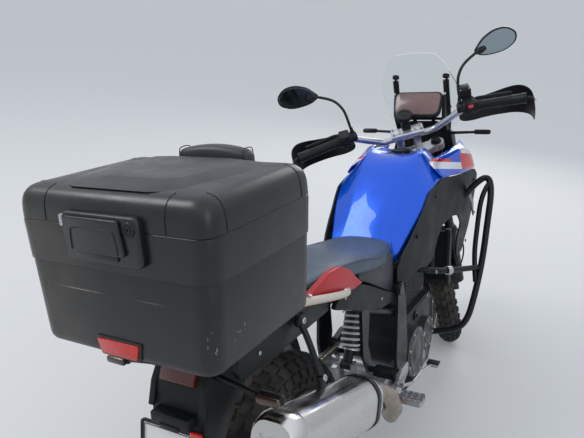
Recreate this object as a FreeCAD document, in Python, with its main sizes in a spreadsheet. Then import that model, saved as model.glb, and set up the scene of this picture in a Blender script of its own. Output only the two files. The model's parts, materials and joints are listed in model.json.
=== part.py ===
"""Adventure motorcycle with a top case, resting on its side stand with the bars turned to the left stop.

Every piece is drawn on an upright, straight machine: x forward from the rear axle, y to the left, z up
from the ground. The fork, bars and front wheel are drawn about the steering axis. One placement per
group then turns the bars and leans the whole machine onto its stand. Sizes are millimetres and degrees.
"""

import FreeCAD, Part
import math
import os
import Sketcher
from FreeCAD import Placement, Rotation, Vector

os.makedirs("parts", exist_ok=True)
doc = FreeCAD.newDocument("adventure_motorcycle")

# Driving sizes: alias, value, meaning
SIZES = [
    ("wheelbase", 1556, "rear axle to front axle"),
    ("rake", 27, "steering axis from the vertical"),
    ("trail", 105, "front contact point behind the steering axis"),
    ("rest_lean", 10, "lean onto the side stand"),
    ("rest_steer", 28, "bars turned left, onto the stop"),
    ("fit_gap", 0.3, "running clearance of a fit"),
    ("front_radius", 329, "front tyre outside"),
    ("front_crown", 55, "front tyre tread arc"),
    ("front_bead", 243, "front rim bead seat"),
    ("front_bead_half", 38, "front bead seat half width"),
    ("rear_radius", 321, "rear tyre outside"),
    ("rear_crown", 75, "rear tyre tread arc"),
    ("rear_bead", 217, "rear rim bead seat"),
    ("rear_bead_half", 58, "rear bead seat half width"),
    ("rim_depth", 16, "rim well below the bead seat"),
    ("rim_lip", 9, "rim flange above the bead seat"),
    ("hub_radius", 38, "wheel hub barrel"),
    ("spoke_thickness", 20, "spoke across the wheel"),
    ("spoke_count", 5, "pairs of spokes"),
    ("axle_radius", 10, "both axles"),
    ("front_disc", 152, "front brake disc radius"),
    ("front_disc_at", 60, "front disc inner face from the middle"),
    ("rear_disc", 132, "rear brake disc radius"),
    ("rear_disc_at", 84, "rear disc inner face from the middle"),
    ("disc_thickness", 4.5, "brake discs"),
    ("sprocket_pitch", 106, "rear sprocket pitch radius"),
    ("pinion_pitch", 41, "gearbox sprocket pitch radius"),
    ("chain_at", 98, "chain line from the middle"),
    ("chain_width", 17, "chain across its plates"),
    ("chain_height", 15, "chain plate height"),
    ("pinion_x", 655, "gearbox sprocket centre, forward"),
    ("pinion_z", 340, "gearbox sprocket centre, up"),
    ("fork_forward", 32, "fork tubes ahead of the steering axis"),
    ("fork_half", 105, "fork tubes from the middle"),
    ("fork_tube", 20.5, "fork tube radius"),
    ("fork_slider", 29, "fork slider radius"),
    ("yoke_low", 874, "lower yoke underside along the axis"),
    ("yoke_low_depth", 28, "lower yoke"),
    ("yoke_top", 1134, "upper yoke top along the axis"),
    ("yoke_top_depth", 26, "upper yoke"),
    ("stem_radius", 14, "steering stem"),
    ("head_radius", 31, "head tube outside"),
    ("bar_radius", 13, "handlebar"),
    ("grip_radius", 17, "grips"),
    ("pivot_x", 575, "swingarm pivot, forward"),
    ("pivot_z", 345, "swingarm pivot, up"),
    ("arm_inside", 112, "swingarm inner face from the middle"),
    ("arm_width", 26, "swingarm leg width"),
    ("spar_radius", 16, "main frame tubes"),
    ("spar_half", 129, "main frame tubes from the middle"),
    ("rail_radius", 13, "rear frame tubes"),
    ("rail_half", 112, "rear frame tubes from the middle"),
    ("crash_radius", 12.5, "crash bar tubes"),
    ("case_rear", 488, "case rear face behind the rear axle"),
    ("case_front", 142, "case front face behind the rear axle"),
    ("case_bottom", 900, "case underside"),
    ("case_seam", 1153, "seam between case and lid"),
    ("case_top", 1216, "lid top"),
    ("case_half", 232, "case half width at the seam"),
    ("case_half_low", 214, "case half width at the bottom"),
    ("case_corner", 38, "case corner radius"),
    ("case_wall", 4, "case and lid wall"),
    ("lid_gap", 1, "open seam under the lid"),
    ("stand_pivot_x", 545, "side stand pivot, forward"),
    ("stand_pivot_y", 168, "side stand pivot, left"),
    ("stand_pivot_z", 235, "side stand pivot, up"),
    ("stand_radius", 13, "side stand leg"),
    ("stand_foot_length", 70, "side stand foot"),
    ("stand_foot_width", 46, "side stand foot"),
    ("stand_foot_thick", 8, "side stand foot"),
]

sheet = doc.addObject("Spreadsheet::Sheet", "sizes")
for row, (alias, value, meaning) in enumerate(SIZES, start=1):
    sheet.set(f"A{row}", alias)
    sheet.set(f"B{row}", str(value))
    sheet.set(f"C{row}", meaning)
    sheet.setAlias(f"B{row}", alias)
doc.recompute()


class Sheet:
    """Reads a size of the spreadsheet by its alias."""

    def __getattr__(self, alias):
        return float(sheet.get(alias))


at = Sheet()
X, Y, Z = Vector(1, 0, 0), Vector(0, 1, 0), Vector(0, 0, 1)
ORIGIN = Vector(0, 0, 0)

# The steering axis leans back by the rake and meets the ground ahead of the front contact point.
axis_foot = Vector(at.wheelbase + at.trail, 0, 0)
steering_frame = Placement(axis_foot, Rotation(Y, -at.rake))
front_axle = steering_frame.inverse().multVec(Vector(at.wheelbase, 0, at.front_radius))
rear_axle = Vector(0, 0, at.rear_radius)
lay_down = Rotation(X, -90)


def polar(radius, angle):
    """The point at a radius and an angle in degrees, in the xy plane."""
    return Vector(radius * math.cos(math.radians(angle)), radius * math.sin(math.radians(angle)), 0)


def rounded_edges(points, radius, closed):
    """Straight runs joined by tangent arcs of the radius, along the points."""
    count = len(points)
    corners = range(count) if closed else range(1, count - 1)
    start = None if closed else points[0]
    edges = []
    first_reach = None
    for i in corners:
        corner = points[i]
        back = points[i - 1] - corner
        ahead = points[(i + 1) % count] - corner
        turn = math.pi - back.getAngle(ahead)
        bend = min(radius, 0.48 * min(back.Length, ahead.Length) / math.tan(turn / 2))
        reach = bend * math.tan(turn / 2)
        back.normalize()
        ahead.normalize()
        middle = (back + ahead).normalize()
        centre = corner + middle * (bend / math.cos(turn / 2))
        enter = corner + back * reach
        leave = corner + ahead * reach
        if start is None:
            first_reach = enter
        else:
            edges.append(Part.LineSegment(start, enter).toShape())
        edges.append(Part.Arc(enter, centre - middle * bend, leave).toShape())
        start = leave
    end = first_reach if closed else points[-1]
    edges.append(Part.LineSegment(start, end).toShape())
    return edges


def outline(points, radius):
    """A closed flat outline with rounded corners."""
    return Part.Wire(rounded_edges(points, radius, True))


def slab(points, radius, direction):
    """A flat plate: the outline pushed along the direction."""
    return Part.Face(outline(points, radius)).extrude(direction)


def side_slab(points, radius, inner, outer):
    """A plate drawn in x and z, between two distances from the middle."""
    corners = [Vector(x, inner, z) for x, z in points]
    return slab(corners, radius, Vector(0, outer - inner, 0))


def tube(points, radius, bend):
    """A round bar along the points."""
    path = Part.Wire(rounded_edges(points, bend, False))
    ring = Part.Wire([Part.Circle(points[0], points[1] - points[0], radius).toShape()])
    return path.makePipeShell([ring], True, False)


def rod(start, end, radius):
    """A straight round bar."""
    return Part.makeCylinder(radius, (end - start).Length, start, end - start)


def cone(start, end, start_radius, end_radius):
    """A straight tapering bar."""
    return Part.makeCone(start_radius, end_radius, (end - start).Length, start, end - start)


def block(middle, length, width, height, radius=0):
    """A box about its middle, its upright edges rounded."""
    corner = middle - Vector(length / 2, width / 2, height / 2)
    box = Part.makeBox(length, width, height, corner)
    if radius:
        box = box.makeFillet(radius, [e for e in box.Edges if abs(e.tangentAt(e.FirstParameter).z) > 0.9])
    return box


def loft(outlines):
    """A skin over flat outlines."""
    return Part.makeLoft(outlines, True, False)


def station(x, points, radius):
    """A closed section across the machine at x, from the left half's points (y, z), top to bottom."""
    left = [Vector(x, y, z) for y, z in points]
    right = [Vector(x, -y, z) for y, z in reversed(points)]
    return outline(left + right, radius)


def mirrored(shape):
    """The shape's other hand."""
    return shape.mirror(ORIGIN, Y)


def both(shape):
    """A left piece and its right twin."""
    return Part.makeCompound([shape, mirrored(shape)])


def main_solid(shape):
    """The largest solid of a shape."""
    return max(shape.Solids, key=lambda solid: solid.Volume)


def steered(shape):
    """A shape drawn about the steering axis, brought to the upright machine."""
    return shape.transformed(steering_frame.toMatrix())


# How the machine stands: pitch and height that set both tyres on the ground at the rest lean and steer.
def lowest(centre, direction, radius, crown):
    """Lowest point of a tyre with a round tread, for the axle's direction."""
    return centre.z - (radius - crown) * math.sqrt(1 - direction.z ** 2) - crown


def stand_placement(pitch, height):
    """Pitch about the rear axle, lean about the ground line, then lift."""
    lean = Placement(Vector(0, 0, height), Rotation(X, -at.rest_lean))
    return lean.multiply(Placement(ORIGIN, Rotation(Y, pitch), rear_axle))


def settle():
    """Pitch and height that put both tyres on the ground."""
    pitch, height = 0.0, 0.0
    turned = steering_frame.multiply(Placement(ORIGIN, Rotation(Z, at.rest_steer)))
    for _ in range(30):
        place = stand_placement(pitch, height)
        rear = lowest(place.multVec(rear_axle), place.Rotation.multVec(Y), at.rear_radius, at.rear_crown)
        fork = place.multiply(turned)
        front = lowest(fork.multVec(front_axle), fork.Rotation.multVec(Y), at.front_radius, at.front_crown)
        height -= rear
        pitch += math.degrees((front - rear) / at.wheelbase)
    return stand_placement(pitch, height)


bike = settle()
fork = bike.multiply(steering_frame).multiply(Placement(ORIGIN, Rotation(Z, at.rest_steer)))
front_wheel = fork.multiply(Placement(front_axle, lay_down))
rear_wheel = bike.multiply(Placement(rear_axle, lay_down))

sub_parts = []


def keep(label, thing, place):
    """Registers a sub-part: its name and its place."""
    thing.Label = label
    thing.Placement = place
    sub_parts.append(thing)
    return thing


def piece(label, shape, place=bike):
    """A sub-part whose shape is worked out here from the sheet."""
    feature = doc.addObject("Part::Feature", label)
    feature.Shape = shape
    return keep(label, feature, place.multiply(shape.Placement))


def sub_shape(label):
    """A finished sub-part's shape on the upright machine."""
    thing = next(thing for thing in sub_parts if thing.Label == label)
    return thing.Shape.transformed(bike.inverse().toMatrix())


def origin_plane(body, role):
    """One of a body's own origin planes."""
    return next(f for f in body.Origin.OriginFeatures if f.Role == role)


def new_sketch(body, name, role):
    """A sketch on one of the body's origin planes."""
    sketch = body.newObject("Sketcher::SketchObject", name)
    sketch.AttachmentSupport = [(origin_plane(body, role), "")]
    sketch.MapMode = "FlatFace"
    return sketch


def bind(sketch, kind, *where, formula):
    """A dimension of the sketch tied to the sheet."""
    index = sketch.addConstraint(Sketcher.Constraint(kind, *where, 1.0))
    sketch.setExpression(f"Constraints[{index}]", formula)


def polygon(sketch, corners):
    """A closed run of straight lines whose corners are pairs of formulas."""
    count = len(corners)
    spots = [polar(10, i * 360 / count) for i in range(count)]
    for i in range(count):
        sketch.addGeometry(Part.LineSegment(spots[i], spots[(i + 1) % count]), False)
    for i in range(count):
        sketch.addConstraint(Sketcher.Constraint("Coincident", i, 2, (i + 1) % count, 1))
    for i, (across, up) in enumerate(corners):
        bind(sketch, "DistanceX", i, 1, formula=across)
        bind(sketch, "DistanceY", i, 1, formula=up)


def circles(sketch, radii):
    """Circles about the sketch's origin, from formulas."""
    for i, formula in enumerate(radii):
        sketch.addGeometry(Part.Circle(ORIGIN, Z, 10 + i), False)
        sketch.addConstraint(Sketcher.Constraint("Coincident", i, 3, -1, 1))
        bind(sketch, "Radius", i, formula=formula)


def revolved(label, corners, place):
    """A body turned about its own z axis; the corners are formulas of radius and height."""
    body = doc.addObject("PartDesign::Body", label)
    sketch = new_sketch(body, label + "_profile", "XZ_Plane")
    polygon(sketch, corners)
    doc.recompute()
    turned = body.newObject("PartDesign::Revolution", label + "_turned")
    turned.Profile = sketch
    turned.ReferenceAxis = (sketch, ["V_Axis"])
    turned.Angle = 360
    return keep(label, body, place)




# Wheels, drawn about their own axle as z
def tyre(label, end, place):
    """A tyre turned from a bead line, straight walls and a round tread."""
    body = doc.addObject("PartDesign::Body", label)
    sketch = new_sketch(body, label + "_section", "XZ_Plane")
    crown = getattr(at, end + "_crown")
    shoulder = getattr(at, end + "_radius") - crown
    bead = getattr(at, end + "_bead")
    half = getattr(at, end + "_bead_half")
    tread = Part.Circle(Vector(shoulder, 0, 0), Z, crown)
    low_bead, high_bead = Vector(bead, -half, 0), Vector(bead, half, 0)
    low_shoulder, high_shoulder = Vector(shoulder, -crown, 0), Vector(shoulder, crown, 0)
    sketch.addGeometry(Part.LineSegment(low_bead, low_shoulder), False)
    sketch.addGeometry(Part.ArcOfCircle(tread, -math.pi / 2, math.pi / 2), False)
    sketch.addGeometry(Part.LineSegment(high_shoulder, high_bead), False)
    sketch.addGeometry(Part.LineSegment(high_bead, low_bead), False)
    for i in range(4):
        sketch.addConstraint(Sketcher.Constraint("Coincident", i, 2, (i + 1) % 4, 1))
    sketch.addConstraint(Sketcher.Constraint("PointOnObject", 1, 3, -1))
    out = f"sizes.{end}_radius - sizes.{end}_crown"
    for where in (1, 2, 3):
        bind(sketch, "DistanceX", 1, where, formula=out)
    bind(sketch, "Radius", 1, formula=f"sizes.{end}_crown")
    bind(sketch, "DistanceX", 0, 1, formula=f"sizes.{end}_bead")
    bind(sketch, "DistanceY", 0, 1, formula=f"-sizes.{end}_bead_half")
    bind(sketch, "DistanceX", 2, 2, formula=f"sizes.{end}_bead")
    bind(sketch, "DistanceY", 2, 2, formula=f"sizes.{end}_bead_half")
    doc.recompute()
    turned = body.newObject("PartDesign::Revolution", label + "_turned")
    turned.Profile = sketch
    turned.ReferenceAxis = (sketch, ["V_Axis"])
    turned.Angle = 360
    return keep(label, body, place)


def turned_solid(corners):
    """A solid turned about z from corners of radius and height."""
    points = [Vector(radius, 0, height) for radius, height in corners]
    return Part.Face(Part.makePolygon(points + points[:1])).revolve(ORIGIN, Z, 360)


def spoke_section(radius, angle, across, along):
    """A spoke's rounded section, square to its radius."""
    middle = polar(radius, angle)
    side = polar(across / 2, angle + 90)
    rise = Z * (along / 2)
    return outline([middle - side - rise, middle + side - rise, middle + side + rise, middle - side + rise], 4)


def rim(label, end, hub, place):
    """A cast wheel: flanged rim, hub barrel and pairs of spokes that spread towards the rim."""
    bead = getattr(at, end + "_bead")
    half = getattr(at, end + "_bead_half")
    crown = getattr(at, end + "_crown")
    shoulder = getattr(at, end + "_radius") - crown
    flange = half + at.rim_lip * (crown - half) / (shoulder - bead)
    flange_thickness = 3
    well = bead - at.rim_depth
    well_half = half - 14
    ring = turned_solid([
        (bead, -half), (bead, half),
        (bead + at.rim_lip, flange), (bead + at.rim_lip, flange + flange_thickness),
        (bead - 5, flange + flange_thickness), (well, well_half),
        (well, -well_half), (bead - 5, -flange - flange_thickness),
        (bead + at.rim_lip, -flange - flange_thickness), (bead + at.rim_lip, -flange),
    ])
    spread_hub, spread_rim = 8, 9.5
    spokes = []
    for i in range(round(at.spoke_count)):
        for side in (-1, 1):
            angle = 90 + i * 360 / at.spoke_count
            spokes.append(loft([
                spoke_section(at.hub_radius - 6, angle + side * spread_hub, 15, at.spoke_thickness + 12),
                spoke_section(well + 2, angle + side * spread_rim, 13, at.spoke_thickness),
            ]))
    return piece(label, ring.fuse([turned_solid(hub)] + spokes), place)


bore = at.axle_radius + at.fit_gap
front_hub_end = at.front_disc_at + at.disc_thickness + 5
front_hub = [
    (bore, -front_hub_end), (30, -front_hub_end), (30, -at.front_disc_at), (52, -at.front_disc_at),
    (52, 8 - at.front_disc_at), (at.hub_radius, 20 - at.front_disc_at),
    (at.hub_radius, at.front_disc_at - 20), (52, at.front_disc_at - 8), (52, at.front_disc_at),
    (30, at.front_disc_at), (30, front_hub_end), (bore, front_hub_end),
]
sprocket_half = 3.5
rear_hub_left = at.chain_at - sprocket_half
rear_hub_right = at.rear_disc_at + at.disc_thickness + 2
rear_hub = [
    (bore, -rear_hub_right), (30, -rear_hub_right), (30, -at.rear_disc_at), (52, -at.rear_disc_at),
    (52, 8 - at.rear_disc_at), (at.hub_radius, 20 - at.rear_disc_at), (at.hub_radius, 30),
    (74, 42), (74, 78), (60, rear_hub_left), (30, rear_hub_left), (30, at.chain_at + sprocket_half + 2),
    (bore, at.chain_at + sprocket_half + 2),
]


def disc_plate(radius, inner, carrier, centre, arms, thickness):
    """A brake disc or sprocket: a ring joined by arms to a bolted centre."""
    ring = Part.makeCylinder(radius, thickness).cut(Part.makeCylinder(inner, thickness))
    middle = Part.makeCylinder(carrier, thickness).cut(Part.makeCylinder(centre, thickness))
    shape = ring.fuse(middle)
    for i in range(arms):
        turn = i * 360 / arms
        foot, tip = polar(carrier - 4, turn - 12), polar(inner + 3, turn + 6)
        side = (tip - foot).cross(Z).normalize() * 7
        shape = shape.fuse(slab([foot - side, foot + side, tip + side, tip - side], 2, Z * thickness))
    return shape.removeSplitter()


def lifted(shape, height):
    """The shape moved along z."""
    return shape.translated(Z * height)


tyre("front_tyre", "front", front_wheel)
rim("front_rim", "front", front_hub, front_wheel)
front_disc_shape = disc_plate(at.front_disc, 112, 50, 30, 6, at.disc_thickness)
piece("front_discs", Part.makeCompound([
    lifted(front_disc_shape, at.front_disc_at),
    lifted(front_disc_shape, -at.front_disc_at - at.disc_thickness),
]), front_wheel)
tyre("rear_tyre", "rear", rear_wheel)
rim("rear_rim", "rear", rear_hub, rear_wheel)
piece("rear_disc", lifted(disc_plate(at.rear_disc, 96, 50, 30, 5, at.disc_thickness),
                          -at.rear_disc_at - at.disc_thickness), rear_wheel)
roller = 5
piece("rear_sprocket", lifted(
    disc_plate(at.sprocket_pitch - roller - at.fit_gap, 84, 56, 30, 5, 2 * sprocket_half),
    at.chain_at - sprocket_half), rear_wheel)

# Frame and engine
half_spar = at.spar_half
pivot = Vector(at.pivot_x, 0, at.pivot_z)
head_low = at.yoke_low + at.yoke_low_depth + 4
head_high = at.yoke_top - at.yoke_top_depth - 4
head_tube = steered(Part.makeCylinder(at.head_radius, head_high - head_low, Z * head_low))
head_bore = steered(Part.makeCylinder(at.stem_radius + at.fit_gap, head_high - head_low, Z * head_low))
spars = [tube([Vector(1200, 8, 880), Vector(1110, 100, 815), Vector(900, half_spar, 752),
               Vector(640, half_spar, 672), Vector(585, half_spar, 648)], at.spar_radius, 60)]
spars.append(tube([Vector(1222, 8, 842), Vector(1100, 98, 720), Vector(1040, 112, 545)], 13, 80))
pivot_plate_inner = at.arm_inside + at.arm_width + 3
pivot_plate_outer = pivot_plate_inner + 11
plate_points = [(548, 300), (615, 300), (640, 420), (630, 590), (606, 672), (560, 672), (548, 560), (532, 420)]
pivot_plate = side_slab(plate_points, 16, pivot_plate_inner, pivot_plate_outer)
shock_top = Vector(585, 0, 648)
spar_boss = rod(shock_top + Y * (half_spar - 12), shock_top + Y * (pivot_plate_outer + 3), at.spar_radius + 4)
engine_boss = rod(Vector(1038, 96, 552), Vector(1038, 125, 552), 13)
left_frame = spars[0].fuse([spars[1], pivot_plate, spar_boss, engine_boss])
shock_bar = rod(shock_top - Y * half_spar, shock_top + Y * half_spar, 10)
pivot_bolt_radius = 9
pivot_hole = rod(pivot - Y * 200, pivot + Y * 200, pivot_bolt_radius)

# Side stand: its hinge axis is square to the leg both down and folded back
stand_pivot = Vector(at.stand_pivot_x, at.stand_pivot_y, at.stand_pivot_z)
stand_reach = Vector(58, 138, 0)
ground_up = bike.Rotation.inverted().multVec(Z)
foot_under = stand_pivot + stand_reach
foot_under = foot_under - Z * (bike.multVec(foot_under).z / ground_up.z)
ankle = foot_under + ground_up * (at.stand_foot_thick + at.stand_radius - 5)
leg_down = (ankle - stand_pivot).normalize()
leg_folded = Vector(-0.98, 0.1, 0.17).normalize()
stand_axis = leg_down.cross(leg_folded).normalize()
stand_fold = math.degrees(leg_down.getAngle(leg_folded))
stand_turn = Rotation(leg_down, stand_axis.cross(leg_down), stand_axis, "XYZ")
stand_frame = Placement(stand_pivot, stand_turn)
side_stand_place = bike.multiply(stand_frame)
stand_head_half = 7
stand_head_radius = 17
ear_thickness = 6
stand_pin = 6
ear_angle = 180 + stand_fold / 2
ear_side = polar(15, ear_angle + 90)
ear_back = polar(38, ear_angle)
ear_outline = [ear_side, ear_side * -1, ear_back - ear_side, ear_back + ear_side]
ears = []
for low in (stand_head_half + at.fit_gap, -stand_head_half - at.fit_gap - ear_thickness):
    ear = slab([p + Z * low for p in ear_outline], 6, Z * ear_thickness)
    ears.append(ear.fuse(Part.makeCylinder(15, ear_thickness, Z * low)))
ear_span = 2 * (stand_head_half + at.fit_gap + ear_thickness)
ear_web = Part.makeCylinder(9, ear_span, polar(29, ear_angle) - Z * ear_span / 2)
ear_pin = Part.makeCylinder(stand_pin, ear_span, Z * -ear_span / 2)
stand_lug = ears[0].fuse([ears[1], ear_web, ear_pin]).transformed(stand_frame.toMatrix())
lug_root = stand_frame.multVec(polar(29, ear_angle))
lug_arm = rod(lug_root, Vector(596, pivot_plate_inner + 9, 322), 11)

main_frame = left_frame.fuse([mirrored(left_frame), head_tube, shock_bar, lug_arm, stand_lug])
main_frame = main_frame.cut(head_bore).cut(pivot_hole)
piece("main_frame", main_frame)

crank_points = [(628, 282), (690, 246), (980, 246), (1042, 300), (1048, 420), (985, 486), (700, 486), (628, 430)]
crank_half = 120
sprocket_bay = 80
crankcase = side_slab(crank_points, 28, -crank_half, crank_half)
bay = Part.makeBox(130, 60, 300, Vector(600, sprocket_bay, 200))
crankcase = crankcase.cut(bay)
crankcase = crankcase.fuse(rod(Vector(at.pinion_x, sprocket_bay, at.pinion_z),
                               Vector(at.pinion_x, at.chain_at - 6, at.pinion_z), 30))
piece("crankcase", crankcase)
block_points = [(770, 486), (985, 486), (1010, 640), (1016, 700), (990, 738), (850, 738), (806, 700), (800, 640)]
cylinder_half = 96
piece("cylinders", side_slab(block_points, 14, -cylinder_half, cylinder_half))
covers = [
    rod(Vector(730, -crank_half, 350), Vector(730, -crank_half - 34, 350), 92),
    rod(Vector(905, -crank_half, 345), Vector(905, -crank_half - 22, 345), 62),
    rod(Vector(905, crank_half, 345), Vector(905, crank_half + 40, 345), 82),
    side_slab([(610, 296), (728, 286), (734, 400), (690, 412), (612, 396)], 20, 112, 134),
]
piece("engine_covers", Part.makeCompound([
    covers[0].fuse(covers[1]),
    covers[2],
    covers[3].cut(crankcase),
]))


# Chain round both sprockets
def belt_face(rear_round, front_round, extra, y):
    """The face inside a loop round two sprockets, in the xz plane at y."""
    (rear_x, rear_z, rear_r), (front_x, front_z, front_r) = rear_round, front_round
    start, end = Vector(rear_x, y, rear_z), Vector(front_x, y, front_z)
    along = end - start
    slope = math.atan2(along.z, along.x)
    spread = math.acos((rear_r - front_r) / along.Length)

    def rim_point(centre, radius, angle):
        return centre + Vector(math.cos(angle), 0, math.sin(angle)) * (radius + extra)

    top, bottom = slope + spread, slope - spread
    edges = [
        Part.LineSegment(rim_point(start, rear_r, top), rim_point(end, front_r, top)).toShape(),
        Part.Arc(rim_point(end, front_r, top), rim_point(end, front_r, slope),
                 rim_point(end, front_r, bottom)).toShape(),
        Part.LineSegment(rim_point(end, front_r, bottom), rim_point(start, rear_r, bottom)).toShape(),
        Part.Arc(rim_point(start, rear_r, bottom), rim_point(start, rear_r, slope + math.pi),
                 rim_point(start, rear_r, top)).toShape(),
    ]
    return Part.Face(Part.Wire(edges))


rear_round = (rear_axle.x, rear_axle.z, at.sprocket_pitch)
front_round = (at.pinion_x, at.pinion_z, at.pinion_pitch)
chain_side = at.chain_at - at.chain_width / 2
chain_outer = belt_face(rear_round, front_round, at.chain_height / 2, chain_side)
chain_inner = belt_face(rear_round, front_round, -roller, chain_side)
piece("chain", chain_outer.cut(chain_inner).extrude(Y * at.chain_width))

# Swingarm, axle, shock and rear brake
arm_outer = at.arm_inside + at.arm_width
arm_points = [(-48, 298), (-48, 344), (60, 350), (300, 362), (at.pivot_x - 45, at.pivot_z + 32),
              (at.pivot_x + 29, at.pivot_z + 28), (at.pivot_x + 31, at.pivot_z - 26),
              (at.pivot_x - 35, at.pivot_z - 34), (300, 304), (60, 292)]
leg = side_slab(arm_points, 14, at.arm_inside, arm_outer)
cross_tube = rod(pivot - Y * (at.arm_inside + 4), pivot + Y * (at.arm_inside + 4), 24)
bridge = block(Vector(430, 0, 350), 90, 2 * at.arm_inside + 8, 34)
shock_foot = Vector(462, 0, 398)
shock_ears = [block(Vector(462, side * 24, 386), 36, 10, 48, 4) for side in (-1, 1)]
shock_bolt = rod(shock_foot - Y * 29, shock_foot + Y * 29, 8)
swingarm = leg.fuse([mirrored(leg), cross_tube, bridge, shock_bolt] + shock_ears)
pivot_clear = rod(pivot - Y * 160, pivot + Y * 160, pivot_bolt_radius)
axle_clear = rod(rear_axle - Y * 160, rear_axle + Y * 160, at.axle_radius)
pivot_bolt = rod(pivot - Y * (pivot_plate_outer + 8), pivot + Y * (pivot_plate_outer + 8), pivot_bolt_radius)
swingarm = swingarm.cut(axle_clear)
piece("swingarm", swingarm.fuse(pivot_bolt))
left_collar = at.chain_at + sprocket_half + 2 + at.fit_gap
right_collar = rear_hub_right + at.fit_gap
axle_parts = rod(rear_axle - Y * (arm_outer + 14), rear_axle + Y * (arm_outer + 14), at.axle_radius).fuse([
    rod(rear_axle + Y * left_collar, rear_axle + Y * at.arm_inside, 17),
    rod(rear_axle - Y * right_collar, rear_axle - Y * at.arm_inside, 17),
    rod(rear_axle + Y * arm_outer, rear_axle + Y * (arm_outer + 14), 17),
    rod(rear_axle - Y * arm_outer, rear_axle - Y * (arm_outer + 14), 17),
])
piece("rear_axle", axle_parts)
shock_line = (shock_top - shock_foot).normalize()
shock = rod(shock_foot + shock_line * 12, shock_foot + shock_line * 130, 17).fuse([
    rod(shock_foot + shock_line * 60, shock_top - shock_line * 40, 33),
    rod(shock_foot + shock_line * 100, shock_top - shock_line * 12, 14),
    rod(shock_foot - Y * 18, shock_foot + Y * 18, 17),
    rod(shock_top - Y * 16, shock_top + Y * 16, 18),
])
shock = shock.cut(shock_bolt).cut(rod(shock_top - Y * 20, shock_top + Y * 20, 10))
piece("rear_shock", shock)
caliper_points = [(66, 322), (134, 334), (134, 392), (96, 430), (60, 418)]
caliper_inner = at.rear_disc_at + at.disc_thickness / 2
caliper = side_slab(caliper_points, 12, -caliper_inner - 20, -caliper_inner + 20)
disc_room = rod(Vector(0, -caliper_inner - 4.5, at.rear_radius), Vector(0, -caliper_inner + 4.5, at.rear_radius),
                at.rear_disc + 3)
caliper_arm = side_slab([(18, 310), (60, 318), (60, 352), (18, 336)], 8, -at.arm_inside, -at.arm_inside + 6)
piece("rear_caliper", caliper.cut(disc_room).fuse(
    side_slab([(44, 322), (126, 334), (126, 388), (44, 400)], 8, -at.arm_inside, -caliper_inner - 19)))


# Rear frame, rack and tail
rail_half = at.rail_half
rail = tube([
    Vector(640, rail_half, 716), Vector(420, rail_half, 756), Vector(150, rail_half, 804),
    Vector(-120, rail_half - 4, 840), Vector(-236, 96, 848), Vector(-236, -96, 848),
    Vector(-120, 4 - rail_half, 840), Vector(150, -rail_half, 804), Vector(420, -rail_half, 756),
    Vector(640, -rail_half, 716),
], at.rail_radius, 40)
stay = tube([Vector(590, pivot_plate_inner - 13, 560), Vector(300, 122, 692), Vector(110, rail_half, 806)], 11, 60)
stay_boss = rod(Vector(590, pivot_plate_inner - 22, 560), Vector(590, pivot_plate_inner, 560), 15)
rail_lug = side_slab([(604, 660), (664, 676), (664, 722), (604, 732)], 8, rail_half - 6, rail_half + 8)
rail_lug = rail_lug.cut(main_frame)
rear_frame = rail.fuse([stay, stay_boss, rail_lug, mirrored(stay), mirrored(stay_boss), mirrored(rail_lug)])
piece("rear_frame", rear_frame)

rack_top = at.case_bottom - at.fit_gap
rack_thickness = 14
rack_outline = [Vector(-60, 84, 0), Vector(-150, 112, 0), Vector(-400, 112, 0), Vector(-462, 70, 0),
                Vector(-462, -70, 0), Vector(-400, -112, 0), Vector(-150, -112, 0), Vector(-60, -84, 0)]
rack = slab(rack_outline, 26, Z * rack_thickness)
for window_x, window_length in ((-130, 70), (-225, 70), (-320, 70)):
    for side in (-1, 1):
        rack = rack.cut(block(Vector(window_x, side * 48, rack_thickness / 2), window_length, 62, 40, 14))
rack = lifted(rack, rack_top - rack_thickness)
rack_posts = []
for post_x, post_half in ((-110, 100), (-232, 88)):
    for side in (-1, 1):
        foot = Vector(post_x, side * post_half, 838)
        rack_posts.append(rod(foot, foot + Z * (rack_top - rack_thickness + 4 - foot.z), 11))
rack = rack.fuse(rack_posts).cut(rear_frame)
piece("luggage_rack", rack)

handle_points = [Vector(170, 128, 802), Vector(120, 152, 812), Vector(-45, 152, 866), Vector(-118, 112, 872),
                 Vector(-150, 96, 878)]
handle = tube(handle_points, 10, 24)
piece("grab_handles", both(handle.cut(rear_frame).cut(rack)))

seat_table = [
    (666, 66, 738, 788), (610, 98, 740, 799), (530, 132, 752, 806), (430, 146, 772, 822), (340, 146, 790, 850),
    (233, 140, 818, 874), (100, 128, 838, 884), (-20, 110, 852, 884), (-82, 92, 858, 876),
]
seat_sections = []
for x, half, low, high in seat_table:
    seat_sections.append(station(x, [(half * 0.62, high), (half, high - 16), (half, low)], 13))
seat = loft(seat_sections)
seat = seat.cut(rear_frame).cut(rack)
piece("seat", seat)

trim_points = [(64, 826), (120, 850), (250, 846), (400, 806), (425, 770), (300, 772), (150, 794)]
trim = side_slab(trim_points, 10, 126, 142).cut(seat).cut(rear_frame).cut(handle)
piece("seat_trim", both(trim))
cover_points = [(566, 676), (606, 742), (430, 772), (300, 772), (150, 794), (110, 770), (250, 712), (430, 640),
                (548, 610)]
hanger_points = [(300, 704), (362, 684), (338, 560), (372, 470), (346, 452), (300, 540)]
pillion = side_slab(hanger_points, 14, 124, 134).fuse([
    rod(Vector(350, 130, 472), Vector(350, 150, 472), 10),
    block(Vector(350, 186, 472), 40, 76, 20, 8),
]).cut(rear_frame)
piece("pillion_pegs", both(pillion))
cover = side_slab(cover_points, 20, 127, 140).cut(rear_frame).cut(trim).cut(seat).cut(handle).cut(main_frame)
piece("side_covers", both(cover.cut(pillion)))

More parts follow.
